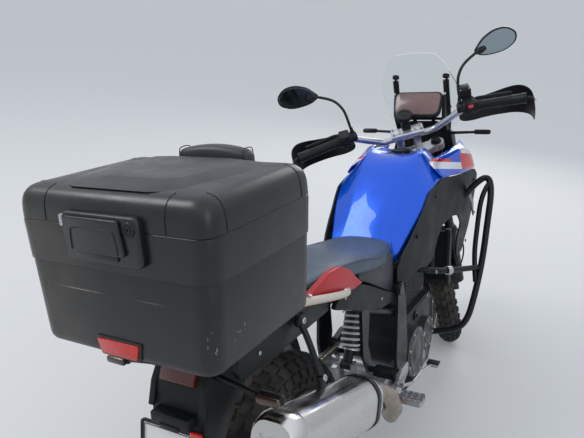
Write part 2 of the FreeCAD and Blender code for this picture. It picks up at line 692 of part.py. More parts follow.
tail_points = [(-176, 846), (-300, 846), (-352, 770), (-378, 640), (-352, 632), (-322, 742), (-262, 800), (-176, 812)]
tail_half = 62
tail = side_slab(tail_points, 14, -tail_half, tail_half).cut(rear_frame).cut(rack)
lamp_house = block(Vector(-372, 0, 706), 40, 104, 30, 8)
plate_top, plate_low = Vector(-374, 0, 678), Vector(-400, 0, 528)
plate_half = 95
plate_corners = [plate_top + Y * plate_half, plate_top - Y * plate_half, plate_low - Y * plate_half,
                 plate_low + Y * plate_half]
plate_normal = (plate_low - plate_top).cross(Y).normalize()
number_plate = slab(plate_corners, 10, plate_normal * 2).cut(lamp_house)
plate_pad = side_slab([(-340, 672), (-340, 600), (-410, 600), (-410, 672)], 6, -40, 40)
tail = tail.fuse([lamp_house, plate_pad]).cut(slab(plate_corners, 10, plate_normal * -60)).cut(number_plate)
piece("plate_carrier", tail)
piece("number_plate", number_plate)

# Case, lid and backrest
def case_ring(inset, z, half, rear=at.case_rear, front=at.case_front):
    """The case's rounded outline at a height, moved in by the inset."""
    corners = [Vector(-rear + inset, half - inset, z), Vector(-front - inset, half - inset, z),
               Vector(-front - inset, inset - half, z), Vector(-rear + inset, inset - half, z)]
    return outline(corners, at.case_corner - inset)


wall = at.case_wall
case_outside = loft([case_ring(0, at.case_bottom, at.case_half_low), case_ring(0, at.case_seam, at.case_half)])
case_inside = loft([case_ring(wall, at.case_bottom + wall, at.case_half_low),
                    case_ring(wall, at.case_seam + 1, at.case_half)])
case_base = case_outside.cut(case_inside)
hinge = Vector(8 - at.case_front, 0, at.case_seam)
hinge_pin = 3
knuckle = 6
knuckle_half = 14
leaf_thickness = 8
base_knuckles, lid_knuckles = [], []
for place in (-110, 110):
    middle = hinge + Y * place
    base_knuckles.append(rod(middle - Y * 30, middle + Y * 30, hinge_pin))
    for side in (-1, 1):
        near, far = middle + Y * side * (knuckle_half + 1), middle + Y * side * 32
        base_knuckles.append(rod(near, far, knuckle))
        base_knuckles.append(block((near + far) / 2 - Vector(4.5, 0, 6), 9, (far - near).Length, leaf_thickness))
    lid_knuckles.append(rod(middle - Y * knuckle_half, middle + Y * knuckle_half, knuckle))
    lid_knuckles.append(block(middle + Vector(-4.5, 0, 6), 9, 2 * knuckle_half, leaf_thickness))
latch = block(Vector(-at.case_rear - 9, 0, 1100), 18, 172, 84, 8)
latch = latch.fuse(block(Vector(-at.case_rear - 14, 0, 1152), 14, 150, 40, 6))
latch = latch.cut(block(Vector(-at.case_rear - 20, 0, 1110), 14, 140, 50, 6)).cut(case_outside)
piece("case_base", case_base.fuse(base_knuckles + [latch]))

lid_low = at.case_seam + at.lid_gap
lid_rings = [(0, 0), (3, 38), (11, 54), (27, at.case_top - at.case_seam)]
lid_outside = loft([case_ring(inset, lid_low if rise == 0 else at.case_seam + rise, at.case_half)
                    for inset, rise in lid_rings])
lid_inside = loft([case_ring(inset + wall, at.case_seam + (rise - wall if rise > 50 else rise), at.case_half)
                   for inset, rise in lid_rings])
pin_room = rod(hinge - Y * 200, hinge + Y * 200, hinge_pin + at.fit_gap)
lid = lid_outside.cut(lid_inside).fuse(lid_knuckles).cut(pin_room)

piece("case_lid", lid)
pad_middle = Vector(-150, 0, at.case_top - 2)
pad = block(pad_middle, 44, 190, 56, 14)
piece("backrest", pad.cut(lid_outside))

lamp_table = [
    (rod(Vector(-316, 50, 792), Vector(-316, 132, 782), 8), block(Vector(-318, 172, 776), 34, 84, 34, 12)),
]
lamp_parts = []
for stalk, pod in lamp_table:
    lamp_parts += [stalk.fuse(pod).cut(tail), mirrored(stalk.fuse(pod).cut(tail))]
tail_lamp = side_slab([(-300, 846), (-330, 846), (-360, 776), (-342, 776)], 6, -46, 46).cut(tail).cut(rack)
reflector = slab([Vector(-at.case_rear, 52, 936), Vector(-at.case_rear, -52, 936),
                  Vector(-at.case_rear, -44, 908), Vector(-at.case_rear, 44, 908)], 4, X * -7).cut(case_outside)
piece("rear_lamps", Part.makeCompound(lamp_parts + [tail_lamp, reflector]))

# Exhaust
header_points = [Vector(1008, 42, 640), Vector(1078, 42, 612), Vector(1084, 40, 400), Vector(1060, 32, 232),
                 Vector(960, 22, 216), Vector(850, 22, 214)]
header = tube(header_points, 18, 60)
collector = tube([Vector(850, 0, 214), Vector(720, -14, 212), Vector(600, -60, 214), Vector(470, -150, 236),
                  Vector(384, -200, 330), Vector(270, -226, 450), Vector(140, -230, 546)], 24, 70)
collector = collector.fuse(block(Vector(852, 0, 214), 40, 92, 44, 14))
piece("exhaust_headers", header.fuse([mirrored(header), collector]).cut(side_slab(block_points, 14, -96, 96)))
silencer_front, silencer_rear = Vector(140, -230, 546), Vector(-368, -232, 694)
silencer_line = (silencer_rear - silencer_front).normalize()
silencer_side = Vector(0, -1, 0)
silencer_up = silencer_side.cross(silencer_line).normalize()
silencer_section = [(-56, 46), (-34, 68), (26, 68), (58, 40), (58, -34), (30, -66), (-34, -66), (-56, -40)]


def silencer_ring(along, scale):
    """The silencer's section at a distance from its front end."""
    middle = silencer_front + silencer_line * along
    return outline([middle + silencer_side * out * scale + silencer_up * up * scale
                    for out, up in silencer_section], 16 * scale)


silencer_length = (silencer_rear - silencer_front).Length
silencer = loft([silencer_ring(0, 0.5), silencer_ring(90, 1)]).fuse([
    loft([silencer_ring(90, 1), silencer_ring(silencer_length - 34, 1)]),
    loft([silencer_ring(silencer_length - 34, 1), silencer_ring(silencer_length, 0.8)]),
])
outlet_start = silencer_rear - silencer_line * 30
silencer = silencer.cut(rod(outlet_start, silencer_rear + silencer_line * 5, 24)).cut(collector)
hanger = rod(Vector(-34, -118, 806), Vector(-34, -128, 806), 10).fuse([
    rod(Vector(-34, -126, 806), Vector(-30, -186, 664), 8),
    rod(Vector(-30, -180, 672), Vector(-30, -196, 650), 10),
])
piece("silencer", silencer.fuse(hanger).cut(rear_frame).cut(handle))

# Tank and body panels
tank_table = [
    (668, [(30, 784), (72, 768), (94, 738), (84, 712)]),
    (740, [(46, 866), (112, 840), (150, 778), (112, 738)]),
    (830, [(56, 946), (138, 908), (182, 840), (132, 766)]),
    (930, [(60, 1004), (148, 964), (190, 880), (140, 792)]),
    (1040, [(60, 1034), (138, 990), (180, 900), (130, 826)]),
    (1130, [(54, 1030), (104, 994), (138, 916), (104, 862)]),
]
tank = loft([station(x, points, 12) for x, points in tank_table])
frame_room = steered(Part.makeCylinder(at.head_radius + 6, 260, Z * (head_low - 20)))
spar_room = both(tube([Vector(1200, 8, 880), Vector(1110, 100, 815), Vector(900, half_spar, 752),
                       Vector(640, half_spar, 672)], at.spar_radius + 4, 60))
filler_at = Vector(1010, 0, 1030)
filler_radius = 36
fork_room = steered(Part.makeBox(260, 320, 148, Vector(-60, -160, 1092)).fuse(
    Part.makeBox(250, 320, 240, Vector(-50, -160, 852))))
tank = tank.cut(spar_room).cut(frame_room).cut(fork_room).cut(seat)
tank = tank.fuse(rod(filler_at - Z * 10, filler_at + Z * 6, filler_radius))
tank_feet = rod(Vector(905, half_spar, 768), Vector(905, half_spar, 800), 12)
tank = tank.fuse([tank_feet, mirrored(tank_feet)]).cut(main_frame)
cap_hinge = filler_at + Vector(filler_radius + 5, 0, 10)
tank = tank.fuse([
    block(cap_hinge + Vector(-1, 14, -7), 10, 8, 18),
    block(cap_hinge + Vector(-1, -14, -7), 10, 8, 18),
    rod(cap_hinge - Y * 18, cap_hinge + Y * 18, 2.5),
])
piece("tank", tank)
cap = rod(filler_at + Z * 6.3, filler_at + Z * 15, filler_radius).fuse(
    block(cap_hinge + Vector(-9, 0, 0), 18, 19, 7))
cap = cap.cut(rod(cap_hinge - Y * 20, cap_hinge + Y * 20, 2.5 + at.fit_gap))
piece("filler_cap", cap)

wing_points = [(890, 900), (950, 990), (1080, 1004), (1230, 1000), (1330, 962), (1338, 930), (1210, 912), (1040, 880)]
wing = side_slab(wing_points, 16, 0, 10)
wing.rotate(Vector(890, 0, 900), Z, 2.5)
wing.rotate(Vector(890, 0, 900), X, 14)
wing.translate(Vector(0, 178, 0))
wing_strut = rod(Vector(1100, 120, 930), Vector(1100, 190, 930), 9)
wing = wing.fuse(wing_strut).cut(tank)
piece("tank_wings", both(wing))
shroud_points = [(720, 752), (830, 840), (1010, 868), (1210, 902), (1325, 918), (1340, 880), (1275, 760), (1190, 600),
                 (1130, 590), (1070, 690), (900, 730)]
shroud = side_slab(shroud_points, 24, 0, 8)
shroud.rotate(Vector(720, 0, 752), Z, 3)
shroud.translate(Vector(0, 176, 0))
shroud_strut = rod(Vector(1060, 130, 850), Vector(1060, 196, 850), 9)
crash_points = [Vector(1000, 120, 300), Vector(1010, 262, 330), Vector(1110, 326, 600), Vector(1196, 330, 860),
                Vector(1212, 290, 920), Vector(1180, 180, 800), Vector(1110, 112, 730)]
shroud = shroud.fuse(shroud_strut).cut(tank).cut(wing).cut(tube(crash_points, at.crash_radius + 4, 60))
piece("shrouds", both(shroud))

radiator = block(Vector(1152, 0, 580), 30, 280, 210, 4)
radiator = radiator.fuse([block(Vector(1152, side * 148, 580), 40, 22, 230, 8) for side in (-1, 1)])
radiator_feet = rod(Vector(1092, 99, 680), Vector(1140, 99, 680), 7)
radiator = radiator.fuse([radiator_feet, mirrored(radiator_feet)])
radiator.rotate(Vector(1152, 0, 580), Y, 4)
piece("radiator", radiator.cut(main_frame))

# Front bodywork
screen_low, screen_high = Vector(1392, 0, 1092), Vector(1178, 0, 1412)
screen_line = (screen_high - screen_low).normalize()
screen_normal = Y.cross(screen_line).normalize()
screen_radius = 330
screen_thickness = 4
screen_centre = screen_low - screen_normal * screen_radius
screen_length = (screen_high - screen_low).Length
screen_tube = Part.makeCylinder(screen_radius, screen_length, screen_centre, screen_line).cut(
    Part.makeCylinder(screen_radius - screen_thickness, screen_length, screen_centre, screen_line))
screen_table = [(0, 96), (60, 150), (250, 158), (340, 118), (372, 84)]
left_edge = [screen_low + screen_line * up + Y * half for up, half in screen_table]
right_edge = [p - Y * 2 * p.y for p in reversed(left_edge)]
screen_cutter = slab([p - screen_normal * 160 for p in left_edge + right_edge], 18, screen_normal * 200)
windscreen = screen_tube.common(screen_cutter)
piece("windscreen", windscreen)

nose_table = [
    (1296, [(58, 1120), (112, 1084), (132, 1000), (104, 948)]),
    (1360, [(56, 1104), (112, 1066), (126, 984), (96, 930)]),
    (1440, [(44, 1064), (92, 1030), (102, 958), (74, 912)]),
    (1496, [(30, 1012), (64, 992), (76, 950), (54, 916)]),
]
nose = loft([station(x, points, 12) for x, points in nose_table])
nose_arm = tube([Vector(1214, 10, 922), Vector(1250, 20, 935), Vector(1330, 24, 960)], 9, 20)
lamp_room = block(Vector(1480, 0, 966), 60, 112, 58)
lamp_room.rotate(Vector(1480, 0, 966), Y, 20)
wing_brace = rod(Vector(1310, 100, 975), Vector(1310, 192, 970), 7)
nose = nose.cut(lamp_room).fuse([nose_arm, mirrored(nose_arm), wing_brace, mirrored(wing_brace)])
nose = nose.cut(main_frame).cut(both(wing)).cut(both(shroud)).cut(windscreen)
piece("nose_fairing", nose)
head_lamp = block(Vector(1470, 0, 966), 50, 110, 56, 10)
head_lamp.rotate(Vector(1480, 0, 966), Y, 20)
piece("headlight", head_lamp.cut(nose))
beak_table = [
    (1420, 74, 884, 908), (1520, 84, 858, 900), (1620, 72, 838, 872), (1700, 46, 826, 846), (1742, 22, 822, 832),
]
beak = loft([station(x, [(half * 0.3, high), (half, high - (high - low) * 0.5), (half * 0.9, low)], 5)
             for x, half, low, high in beak_table])
beak_post = block(Vector(1440, 0, 908), 60, 60, 30, 8)
piece("beak", beak.fuse(beak_post).cut(nose).cut(head_lamp))

tower = tube([Vector(1330, 92, 1050), Vector(1292, 104, 1130), Vector(1262, 106, 1235), Vector(1254, 106, 1290)], 8, 40)
clip = [rod(Vector(1262, 106, 1235), Vector(1262, 106, 1235) + screen_normal * 60, 6)]
display_middle = Vector(1222, 0, 1197)
display_arm = rod(Vector(1320, 40, 1090), Vector(1262, 40, 1190), 8)
cross_bar = rod(Vector(1292, -104, 1130), Vector(1292, 104, 1130), 6)
brackets = tower.fuse([mirrored(tower), cross_bar, display_arm, mirrored(display_arm)] + clip +
                      [mirrored(clip[0])])
display = block(display_middle, 24, 204, 112)
display = display.makeFillet(10, [e for e in display.Edges if abs(e.tangentAt(e.FirstParameter).x) > 0.9])
display.rotate(display_middle, Y, 27)
piece("display", display)
piece("screen_brackets", main_solid(brackets.cut(nose).cut(windscreen).cut(display)))
winker = rod(Vector(1330, 190, 940), Vector(1330, 232, 946), 7).fuse(
    block(Vector(1332, 262, 948), 34, 84, 32, 12))
piece("front_indicators", both(winker.cut(wing).cut(shroud)))

# Crash bars, skid plate, foot controls
crash = tube(crash_points, at.crash_radius, 60)
brace = rod(Vector(1085, 318, 545), Vector(1000, 110, 470), at.crash_radius * 0.8)
crash_side = crash.fuse(brace).cut(main_frame).cut(side_slab(crank_points, 28, -crank_half, crank_half))
crash_side = crash_side.cut(radiator).cut(wing).cut(side_slab(block_points, 14, -96, 96))
piece("crash_bars", both(crash_side))
skid_points = [(600, 214), (640, 184), (985, 180), (1108, 330), (1102, 336), (980, 188), (644, 192), (606, 220)]
skid = side_slab(skid_points, 3, -118, 118)
skid_lug = rod(Vector(980, 96, 186), Vector(980, 96, 250), 9).fuse(rod(Vector(700, 96, 188), Vector(700, 96, 250), 9))
skid = skid.fuse([skid_lug, mirrored(skid_lug)]).cut(sub_shape("crankcase")).cut(sub_shape("exhaust_headers"))
piece("skid_plate", skid.cut(crash_side).cut(mirrored(crash_side)))

peg = block(Vector(500, 214, 300), 52, 84, 18, 8)
peg_arm = side_slab([(470, 290), (530, 286), (618, 330), (618, 372), (560, 372), (476, 320)], 12,
                    pivot_plate_outer, pivot_plate_outer + 10)
peg_side = peg.fuse([peg_arm, rod(Vector(500, pivot_plate_outer + 4, 298), Vector(500, 190, 300), 9)])
peg_side = peg_side.cut(pivot_bolt)
right_peg = mirrored(peg_side)
brake_pedal = tube([Vector(520, -176, 330), Vector(600, -184, 300), Vector(690, -186, 296), Vector(745, -206, 300)], 6, 20)
brake_pedal = brake_pedal.fuse([block(Vector(748, -212, 302), 30, 44, 12, 4),
                                rod(Vector(520, -pivot_plate_outer, 330), Vector(520, -180, 330), 9)])
gear_lever = tube([Vector(560, 176, 330), Vector(650, 184, 306), Vector(708, 186, 300)], 5, 20)
gear_lever = gear_lever.fuse([rod(Vector(706, 180, 300), Vector(706, 222, 300), 7),
                              rod(Vector(560, pivot_plate_outer, 330), Vector(560, 180, 330), 8)])
foot_gear = [peg_side.fuse(gear_lever), right_peg.fuse(brake_pedal)]
piece("foot_controls", Part.makeCompound([side.cut(main_frame) for side in foot_gear]))

# Steering group, drawn about the steering axis as z: x ahead of it, y left
def yoke(low, depth, edge):
    """A fork yoke: a waisted bridge between two clamps."""
    clamp = at.fork_tube + edge
    bridge_points = [Vector(-26, -30, low), Vector(at.fork_forward - clamp + 6, -at.fork_half, low),
                     Vector(at.fork_forward + clamp - 10, -at.fork_half, low), Vector(44, 0, low),
                     Vector(at.fork_forward + clamp - 10, at.fork_half, low),
                     Vector(at.fork_forward - clamp + 6, at.fork_half, low), Vector(-26, 30, low)]
    shape = slab(bridge_points, 12, Z * depth)
    for side in (-1, 1):
        shape = shape.fuse(Part.makeCylinder(clamp, depth, Vector(at.fork_forward, side * at.fork_half, low)))
    return shape


fork_top = at.yoke_top + 8
fork_tubes = [Part.makeCylinder(at.fork_tube, fork_top - 560, Vector(at.fork_forward, side * at.fork_half, 560))
              for side in (-1, 1)]
fork_tube_pair = Part.makeCompound(fork_tubes)
stem = Part.makeCylinder(at.stem_radius, at.yoke_top + 8 - at.yoke_low, Z * at.yoke_low)
yokes = yoke(at.yoke_low, at.yoke_low_depth, 12).fuse([
    yoke(at.yoke_top - at.yoke_top_depth, at.yoke_top_depth, 11),
    stem,
    Part.makeCylinder(20, 10, Z * at.yoke_top),
]).cut(fork_tube_pair)
piece("yokes", yokes, fork)

legs = []
axle_ahead, axle_along = front_axle.x, front_axle.z
for side in (-1, 1):
    foot = Vector(at.fork_forward, side * at.fork_half, 300)
    slider = Part.makeCylinder(at.fork_slider, 330, foot + Z * 10)
    slider = slider.fuse(Part.makeCylinder(at.fork_slider + 3, 24, foot + Z * 316))
    lug = rod(Vector(axle_ahead, side * (at.fork_half - 26), axle_along),
              Vector(axle_ahead, side * (at.fork_half + 24), axle_along), 24)
    legs.append(slider.fuse([lug, Part.makeCylinder(at.fork_tube, fork_top - 640, foot + Z * 340),
                             Part.makeCylinder(16, 5, Vector(foot.x, foot.y, fork_top))]))
front_bolt = rod(Vector(axle_ahead, -at.fork_half - 26, axle_along),
                 Vector(axle_ahead, at.fork_half + 26, axle_along), at.axle_radius)
collars = [rod(Vector(axle_ahead, side * (front_hub_end + at.fit_gap), axle_along),
               Vector(axle_ahead, side * (at.fork_half - 24), axle_along), 16) for side in (-1, 1)]
piece("fork_legs", legs[0].fuse([legs[1], front_bolt] + collars), fork)

bar_middle = Vector(42, 0, 1188)
bar_knee = Vector(2, 232, 1276)
bar_tip = Vector(-74, 427, 1296)
bar_line = (bar_tip - bar_knee).normalize()
bar_points = [bar_tip, bar_knee, Vector(42, 104, 1188)]
bar = tube(bar_points + [Vector(p.x, -p.y, p.z) for p in reversed(bar_points)], at.bar_radius, 60)
risers = []
for side in (-1, 1):
    risers.append(block(Vector(42, side * 34, (at.yoke_top + 1208) / 2), 40, 30, 1208 - at.yoke_top, 8))
handlebar = bar.fuse(risers)
piece("handlebar", handlebar, fork)


def on_bar(distance):
    """A point on the left bar end, at a distance from its knee."""
    return bar_knee + bar_line * distance


grip_start, grip_end, bar_end = 42, 170, (bar_tip - bar_knee).Length + 14
switch = rod(on_bar(-6), on_bar(grip_start - 1), 24).fuse(block(on_bar(18) + Vector(2, 0, 6), 56, 40, 40, 8))
grip = rod(on_bar(grip_start), on_bar(grip_end), at.grip_radius).fuse(
    rod(on_bar(grip_end), on_bar(bar_end), at.grip_radius + 2))
lever = tube([on_bar(6) + Vector(26, 0, 4), on_bar(60) + Vector(58, 0, 0), on_bar(190) + Vector(62, 0, -4)], 6, 30)
lever_root = block(on_bar(8) + Vector(28, 0, 4), 30, 22, 22, 5)
controls = switch.fuse([grip, lever, lever_root]).cut(handlebar)
reservoir = block(on_bar(-2) + Vector(44, 12, 42), 52, 46, 32, 8).fuse(
    rod(on_bar(4) + Vector(30, 0, 8), on_bar(4) + Vector(44, 4, 30), 9))
controls_pair = Part.makeCompound([controls, mirrored(controls.fuse(reservoir.cut(handlebar)))])
piece("controls", controls_pair, fork)

guard_points = [Vector(66, 214, 1206), Vector(88, 300, 1206), Vector(60, 420, 1206), Vector(-30, 470, 1206),
                Vector(-106, 460, 1206), Vector(-104, 454, 1206), Vector(-32, 463, 1206), Vector(57, 415, 1206),
                Vector(82, 300, 1206), Vector(60, 216, 1206)]
guard = slab(guard_points, 3, Z * 96)
guard_bolt = rod(on_bar(bar_end), on_bar(bar_end) + bar_line * 30, 9)
guard_arm = tube([on_bar(-26) + Vector(0, 0, 0), on_bar(-20) + Vector(40, 0, -6), Vector(68, 222, 1262)], 6, 14)
guard = guard.fuse([guard_bolt, guard_arm]).cut(handlebar)
guard_pair = both(guard).cut(controls_pair)
piece("hand_guards", guard_pair, fork)

mirror_head = Vector(100, 386, 1462)
mirror_stem = tube([on_bar(-19) + Vector(3, 0, 15), on_bar(-14) + Vector(34, 2, 84), Vector(64, 236, 1412),
                    Vector(106, 352, 1452)], 5, 26)
mirror_outline = [Vector(0, -78, -26), Vector(0, -44, 34), Vector(0, 40, 52), Vector(0, 82, 30), Vector(0, 76, -28),
                  Vector(0, 20, -52), Vector(0, -44, -48)]
mirror_shell = slab([mirror_head + p for p in mirror_outline], 26, X * 18)
mirror_clamp = rod(on_bar(-30), on_bar(-9), 20)
mirror_side = mirror_stem.fuse([mirror_clamp, mirror_shell])
piece("mirrors", both(mirror_side).cut(controls_pair).cut(handlebar).cut(guard_pair), fork)

phone_foot, phone_top = Vector(58, 0, 1216), Vector(50, 0, 1290)
phone_line = (phone_top - phone_foot).normalize()
phone_mount = block(Vector(54, 0, 1222), 30, 34, 50, 6).fuse([
    rod(phone_foot, phone_top - phone_line * 10, 13),
    rod(phone_top - phone_line * 22, phone_top, 27),
])
piece("phone_mount", phone_mount.cut(handlebar), fork)

guard_inner = at.front_radius + 16
mudguard_half = 62
wheel_middle = Vector(axle_ahead, -mudguard_half, axle_along)


def ring_piece(inner, outer, start, end, low, high):
    """Part of a ring about the front axle, between two angles from straight ahead, across y."""
    centre = Vector(axle_ahead, low, axle_along)

    def spot(radius, angle):
        turn = math.radians(angle)
        return centre + Vector(math.cos(turn), 0, math.sin(turn)) * radius

    middle = (start + end) / 2
    edges = [
        Part.Arc(spot(inner, start), spot(inner, middle), spot(inner, end)).toShape(),
        Part.LineSegment(spot(inner, end), spot(outer, end)).toShape(),
        Part.Arc(spot(outer, end), spot(outer, middle), spot(outer, start)).toShape(),
        Part.LineSegment(spot(outer, start), spot(inner, start)).toShape(),
    ]
    return Part.Face(Part.Wire(edges)).extrude(Y * (high - low))


mudguard = ring_piece(guard_inner, guard_inner + 4, 0, 138, -mudguard_half, mudguard_half)
mudguard = mudguard.fuse([
    ring_piece(guard_inner - 44, guard_inner, 20, 130, mudguard_half - 3, mudguard_half),
    ring_piece(guard_inner - 44, guard_inner, 20, 130, -mudguard_half, 3 - mudguard_half),
])
mudguard_bracket = block(Vector(at.fork_forward, mudguard_half + 12, 628), 44, 24, 50, 6)
mudguard = mudguard.fuse([mudguard_bracket, mirrored(mudguard_bracket)]).cut(legs[0]).cut(legs[1])
piece("front_mudguard", mudguard, fork)

caliper_points = [(-96, 372), (-40, 356), (-22, 400), (-18, 462), (-60, 470), (-104, 430)]
disc_middle = at.front_disc_at + at.disc_thickness / 2
front_caliper = side_slab(caliper_points, 12, disc_middle - 15, disc_middle + 24)
caliper_room = rod(Vector(axle_ahead, disc_middle - 5, axle_along), Vector(axle_ahead, disc_middle + 5, axle_along),
                   at.front_disc + 3)
caliper_bridge = side_slab([(-30, 380), (20, 380), (20, 452), (-30, 452)], 8, at.fork_half - 22, at.fork_half - 4)
front_caliper = front_caliper.cut(caliper_room).fuse(caliper_bridge).cut(legs[1])
piece("front_calipers", both(front_caliper), fork)

# Side stand
leg_length = (ankle - stand_pivot).Length
stand_head = Part.makeCylinder(stand_head_radius, 2 * stand_head_half, Z * -stand_head_half)
stand_neck = block(Vector(14, 0, 0), 28, 24, 2 * stand_head_half)
stand_leg = rod(Vector(22, 0, 0), Vector(leg_length, 0, 0), at.stand_radius - 1)
foot_block = block(Vector(0, 0, at.stand_foot_thick / 2), at.stand_foot_length, at.stand_foot_width,
                   at.stand_foot_thick, 14)
foot_middle = bike.multVec(foot_under)
foot_place = Placement(Vector(foot_middle.x, foot_middle.y, 0), Rotation())
to_stand = side_stand_place.inverse().multiply(foot_place)
stand_foot = foot_block.transformed(to_stand.toMatrix())
ankle_ball = Part.makeSphere(at.stand_radius, Vector(leg_length, 0, 0))
stand = stand_head.fuse([stand_neck, stand_leg, stand_foot, ankle_ball])
stand = stand.cut(Part.makeCylinder(stand_pin + at.fit_gap, 40, Z * -20))
piece("side_stand", stand, side_stand_place)


def centre_origin():
    """Moves every sub-part so that the origin lies under the middle of the whole box, on the ground."""
    box = FreeCAD.BoundBox()
    for thing in sub_parts:
        box.add(thing.Shape.optimalBoundingBox(False, False))
    shift = Placement(Vector(-box.Center.x, -box.Center.y, 0), Rotation())
    for thing in sub_parts:
        thing.Placement = shift.multiply(thing.Placement)
    return shift


def finish():
    """Recomputes, tests every sub-part and writes its file."""
    doc.recompute()
    for thing in doc.Objects:
        if "Invalid" in thing.State or "Error" in thing.State:
            raise RuntimeError(f"{thing.Label} did not recompute: {thing.State}")
    for thing in sub_parts:
        if thing.Shape.isNull() or not thing.Shape.isValid():
            raise RuntimeError(f"{thing.Label} has no valid shape")
    for thing in sub_parts:
        thing.Shape.exportStep(os.path.join("parts", thing.Label + ".step"))
        print(thing.Label, len(thing.Shape.Solids), "solids")


doc.recompute()
origin_shift = centre_origin()
finish()
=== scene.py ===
"""Looks of the adventure motorcycle: materials for every solid, and the soft, trim and small pieces.

Pieces are drawn in millimetres about the upright, straight machine (x forward from the rear axle, y left,
z up) or about the steering axis, and then brought to their place by BIKE or FORK.
"""
import json
import math

import bmesh
import bpy
from mathutils import Matrix, Vector


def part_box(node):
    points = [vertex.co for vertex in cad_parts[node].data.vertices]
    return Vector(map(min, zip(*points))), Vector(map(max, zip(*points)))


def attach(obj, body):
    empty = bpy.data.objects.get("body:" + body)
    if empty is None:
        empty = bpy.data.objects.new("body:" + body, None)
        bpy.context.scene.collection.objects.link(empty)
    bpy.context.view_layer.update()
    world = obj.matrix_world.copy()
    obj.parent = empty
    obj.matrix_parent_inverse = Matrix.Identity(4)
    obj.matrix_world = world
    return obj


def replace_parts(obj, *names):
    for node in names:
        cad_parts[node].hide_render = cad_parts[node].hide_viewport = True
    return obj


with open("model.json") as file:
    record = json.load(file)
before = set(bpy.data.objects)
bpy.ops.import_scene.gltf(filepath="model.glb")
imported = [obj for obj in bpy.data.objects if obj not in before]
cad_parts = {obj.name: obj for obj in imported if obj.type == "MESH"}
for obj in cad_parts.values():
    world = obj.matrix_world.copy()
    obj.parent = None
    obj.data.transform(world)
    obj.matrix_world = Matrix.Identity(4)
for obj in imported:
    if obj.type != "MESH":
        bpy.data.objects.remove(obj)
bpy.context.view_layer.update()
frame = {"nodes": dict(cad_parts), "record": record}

# The machine's stance: lengths in metres, angles in degrees
REAR_RADIUS, FRONT_RADIUS, WHEELBASE, TRAIL = 0.321, 0.329, 1.556, 0.105
LEAN, PITCH, RAKE, STEER = 10.0, 0.2653, 27.0, 28.0
LIFT = 0.001143
REAR_AXLE = Vector((0, 0, REAR_RADIUS))
tyre_low, tyre_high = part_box("rear_tyre")
SHIFT = Vector(((tyre_low[0] + tyre_high[0]) / 2,
                (tyre_low[1] + tyre_high[1]) / 2 - math.sin(math.radians(LEAN)) * REAR_RADIUS,
                LIFT))


def turn(degrees, axis):
    """A rotation about one axis of the frame."""
    return Matrix.Rotation(math.radians(degrees), 4, axis)


about_axle = Matrix.Translation(REAR_AXLE) @ turn(PITCH, "Y") @ Matrix.Translation(-REAR_AXLE)
BIKE = Matrix.Translation(SHIFT) @ turn(-LEAN, "X") @ about_axle
STEERING = Matrix.Translation((WHEELBASE + TRAIL, 0, 0)) @ turn(-RAKE, "Y")
FORK = BIKE @ STEERING @ turn(STEER, "Z")
FRONT_AXLE = STEERING.inverted() @ Vector((WHEELBASE, 0, FRONT_RADIUS))
REAR_WHEEL = BIKE @ Matrix.Translation(REAR_AXLE) @ turn(-90, "X")
FRONT_WHEEL = FORK @ Matrix.Translation(FRONT_AXLE) @ turn(-90, "X")
# Where a body's pieces are drawn: the bodies that aren't here use BIKE
PLACE_OF = {"steering": FORK, "front_wheel": FRONT_WHEEL, "rear_wheel": REAR_WHEEL}


def mm(*point):
    """A point written in millimetres."""
    return Vector(point) / 1000


# Camera, at the photograph's place: its angles in radians, its focal length in pixels of the picture's width
CAMERA_YAW, CAMERA_PITCH, CAMERA_ROLL = 0.487455, 0.359289, 0.0956
CAMERA_FOCAL, PICTURE_WIDTH, SENSOR_WIDTH = 595.995, 584, 36
CAMERA_PLACE = Vector((-1.174997, -0.53515, 1.548409))


def set_camera():
    """The camera that sees the machine as the photograph does."""
    yaw, pitch, roll = CAMERA_YAW, CAMERA_PITCH, CAMERA_ROLL
    look = Vector((math.cos(yaw) * math.cos(pitch), math.sin(yaw) * math.cos(pitch), -math.sin(pitch)))
    level = Vector((math.sin(yaw), -math.cos(yaw), 0))
    upright = level.cross(look)
    right = math.cos(roll) * level + math.sin(roll) * upright
    up = math.cos(roll) * upright - math.sin(roll) * level
    lens = bpy.data.cameras.new("camera")
    lens.sensor_width = SENSOR_WIDTH
    lens.lens = SENSOR_WIDTH * CAMERA_FOCAL / PICTURE_WIDTH
    lens.clip_start = 0.05
    camera = bpy.data.objects.new("camera", lens)
    place = Matrix((right, up, -look)).transposed().to_4x4()
    place.translation = CAMERA_PLACE + Vector((SHIFT.x, SHIFT.y, 0))
    camera.matrix_world = place
    bpy.context.scene.collection.objects.link(camera)
    bpy.context.scene.camera = camera


set_camera()


# Floor and light. Lamps: a name, its place, its size in metres and its power in watts
LAMPS = [("key", (-2.4, 3.8, 4.4), 2.2, 90), ("fill", (-3.0, -4.2, 3.4), 3.0, 30),
         ("front", (4.6, 0.5, 3.0), 2.4, 50)]
LIT_POINT = Vector((0, 0, 0.7))
FLOOR_REACH, FLOOR_TONE = 120, (0.60, 0.60, 0.59, 1)
SKY_LOW, SKY_MIDDLE, SKY_TOP = (0.458, 0.485, 0.52, 1), (0.47, 0.50, 0.545, 1), (0.86, 0.91, 1.0, 1)
SKY_STRENGTH = 1.1


def soft_lamp(name, place, size, power):
    """A square soft lamp that faces the machine."""
    light = bpy.data.lights.new(name, "AREA")
    light.size = size
    light.energy = power
    lamp = bpy.data.objects.new(name, light)
    lamp.location = place
    lamp.rotation_euler = (LIT_POINT - Vector(place)).to_track_quat("-Z", "Y").to_euler()
    bpy.context.scene.collection.objects.link(lamp)


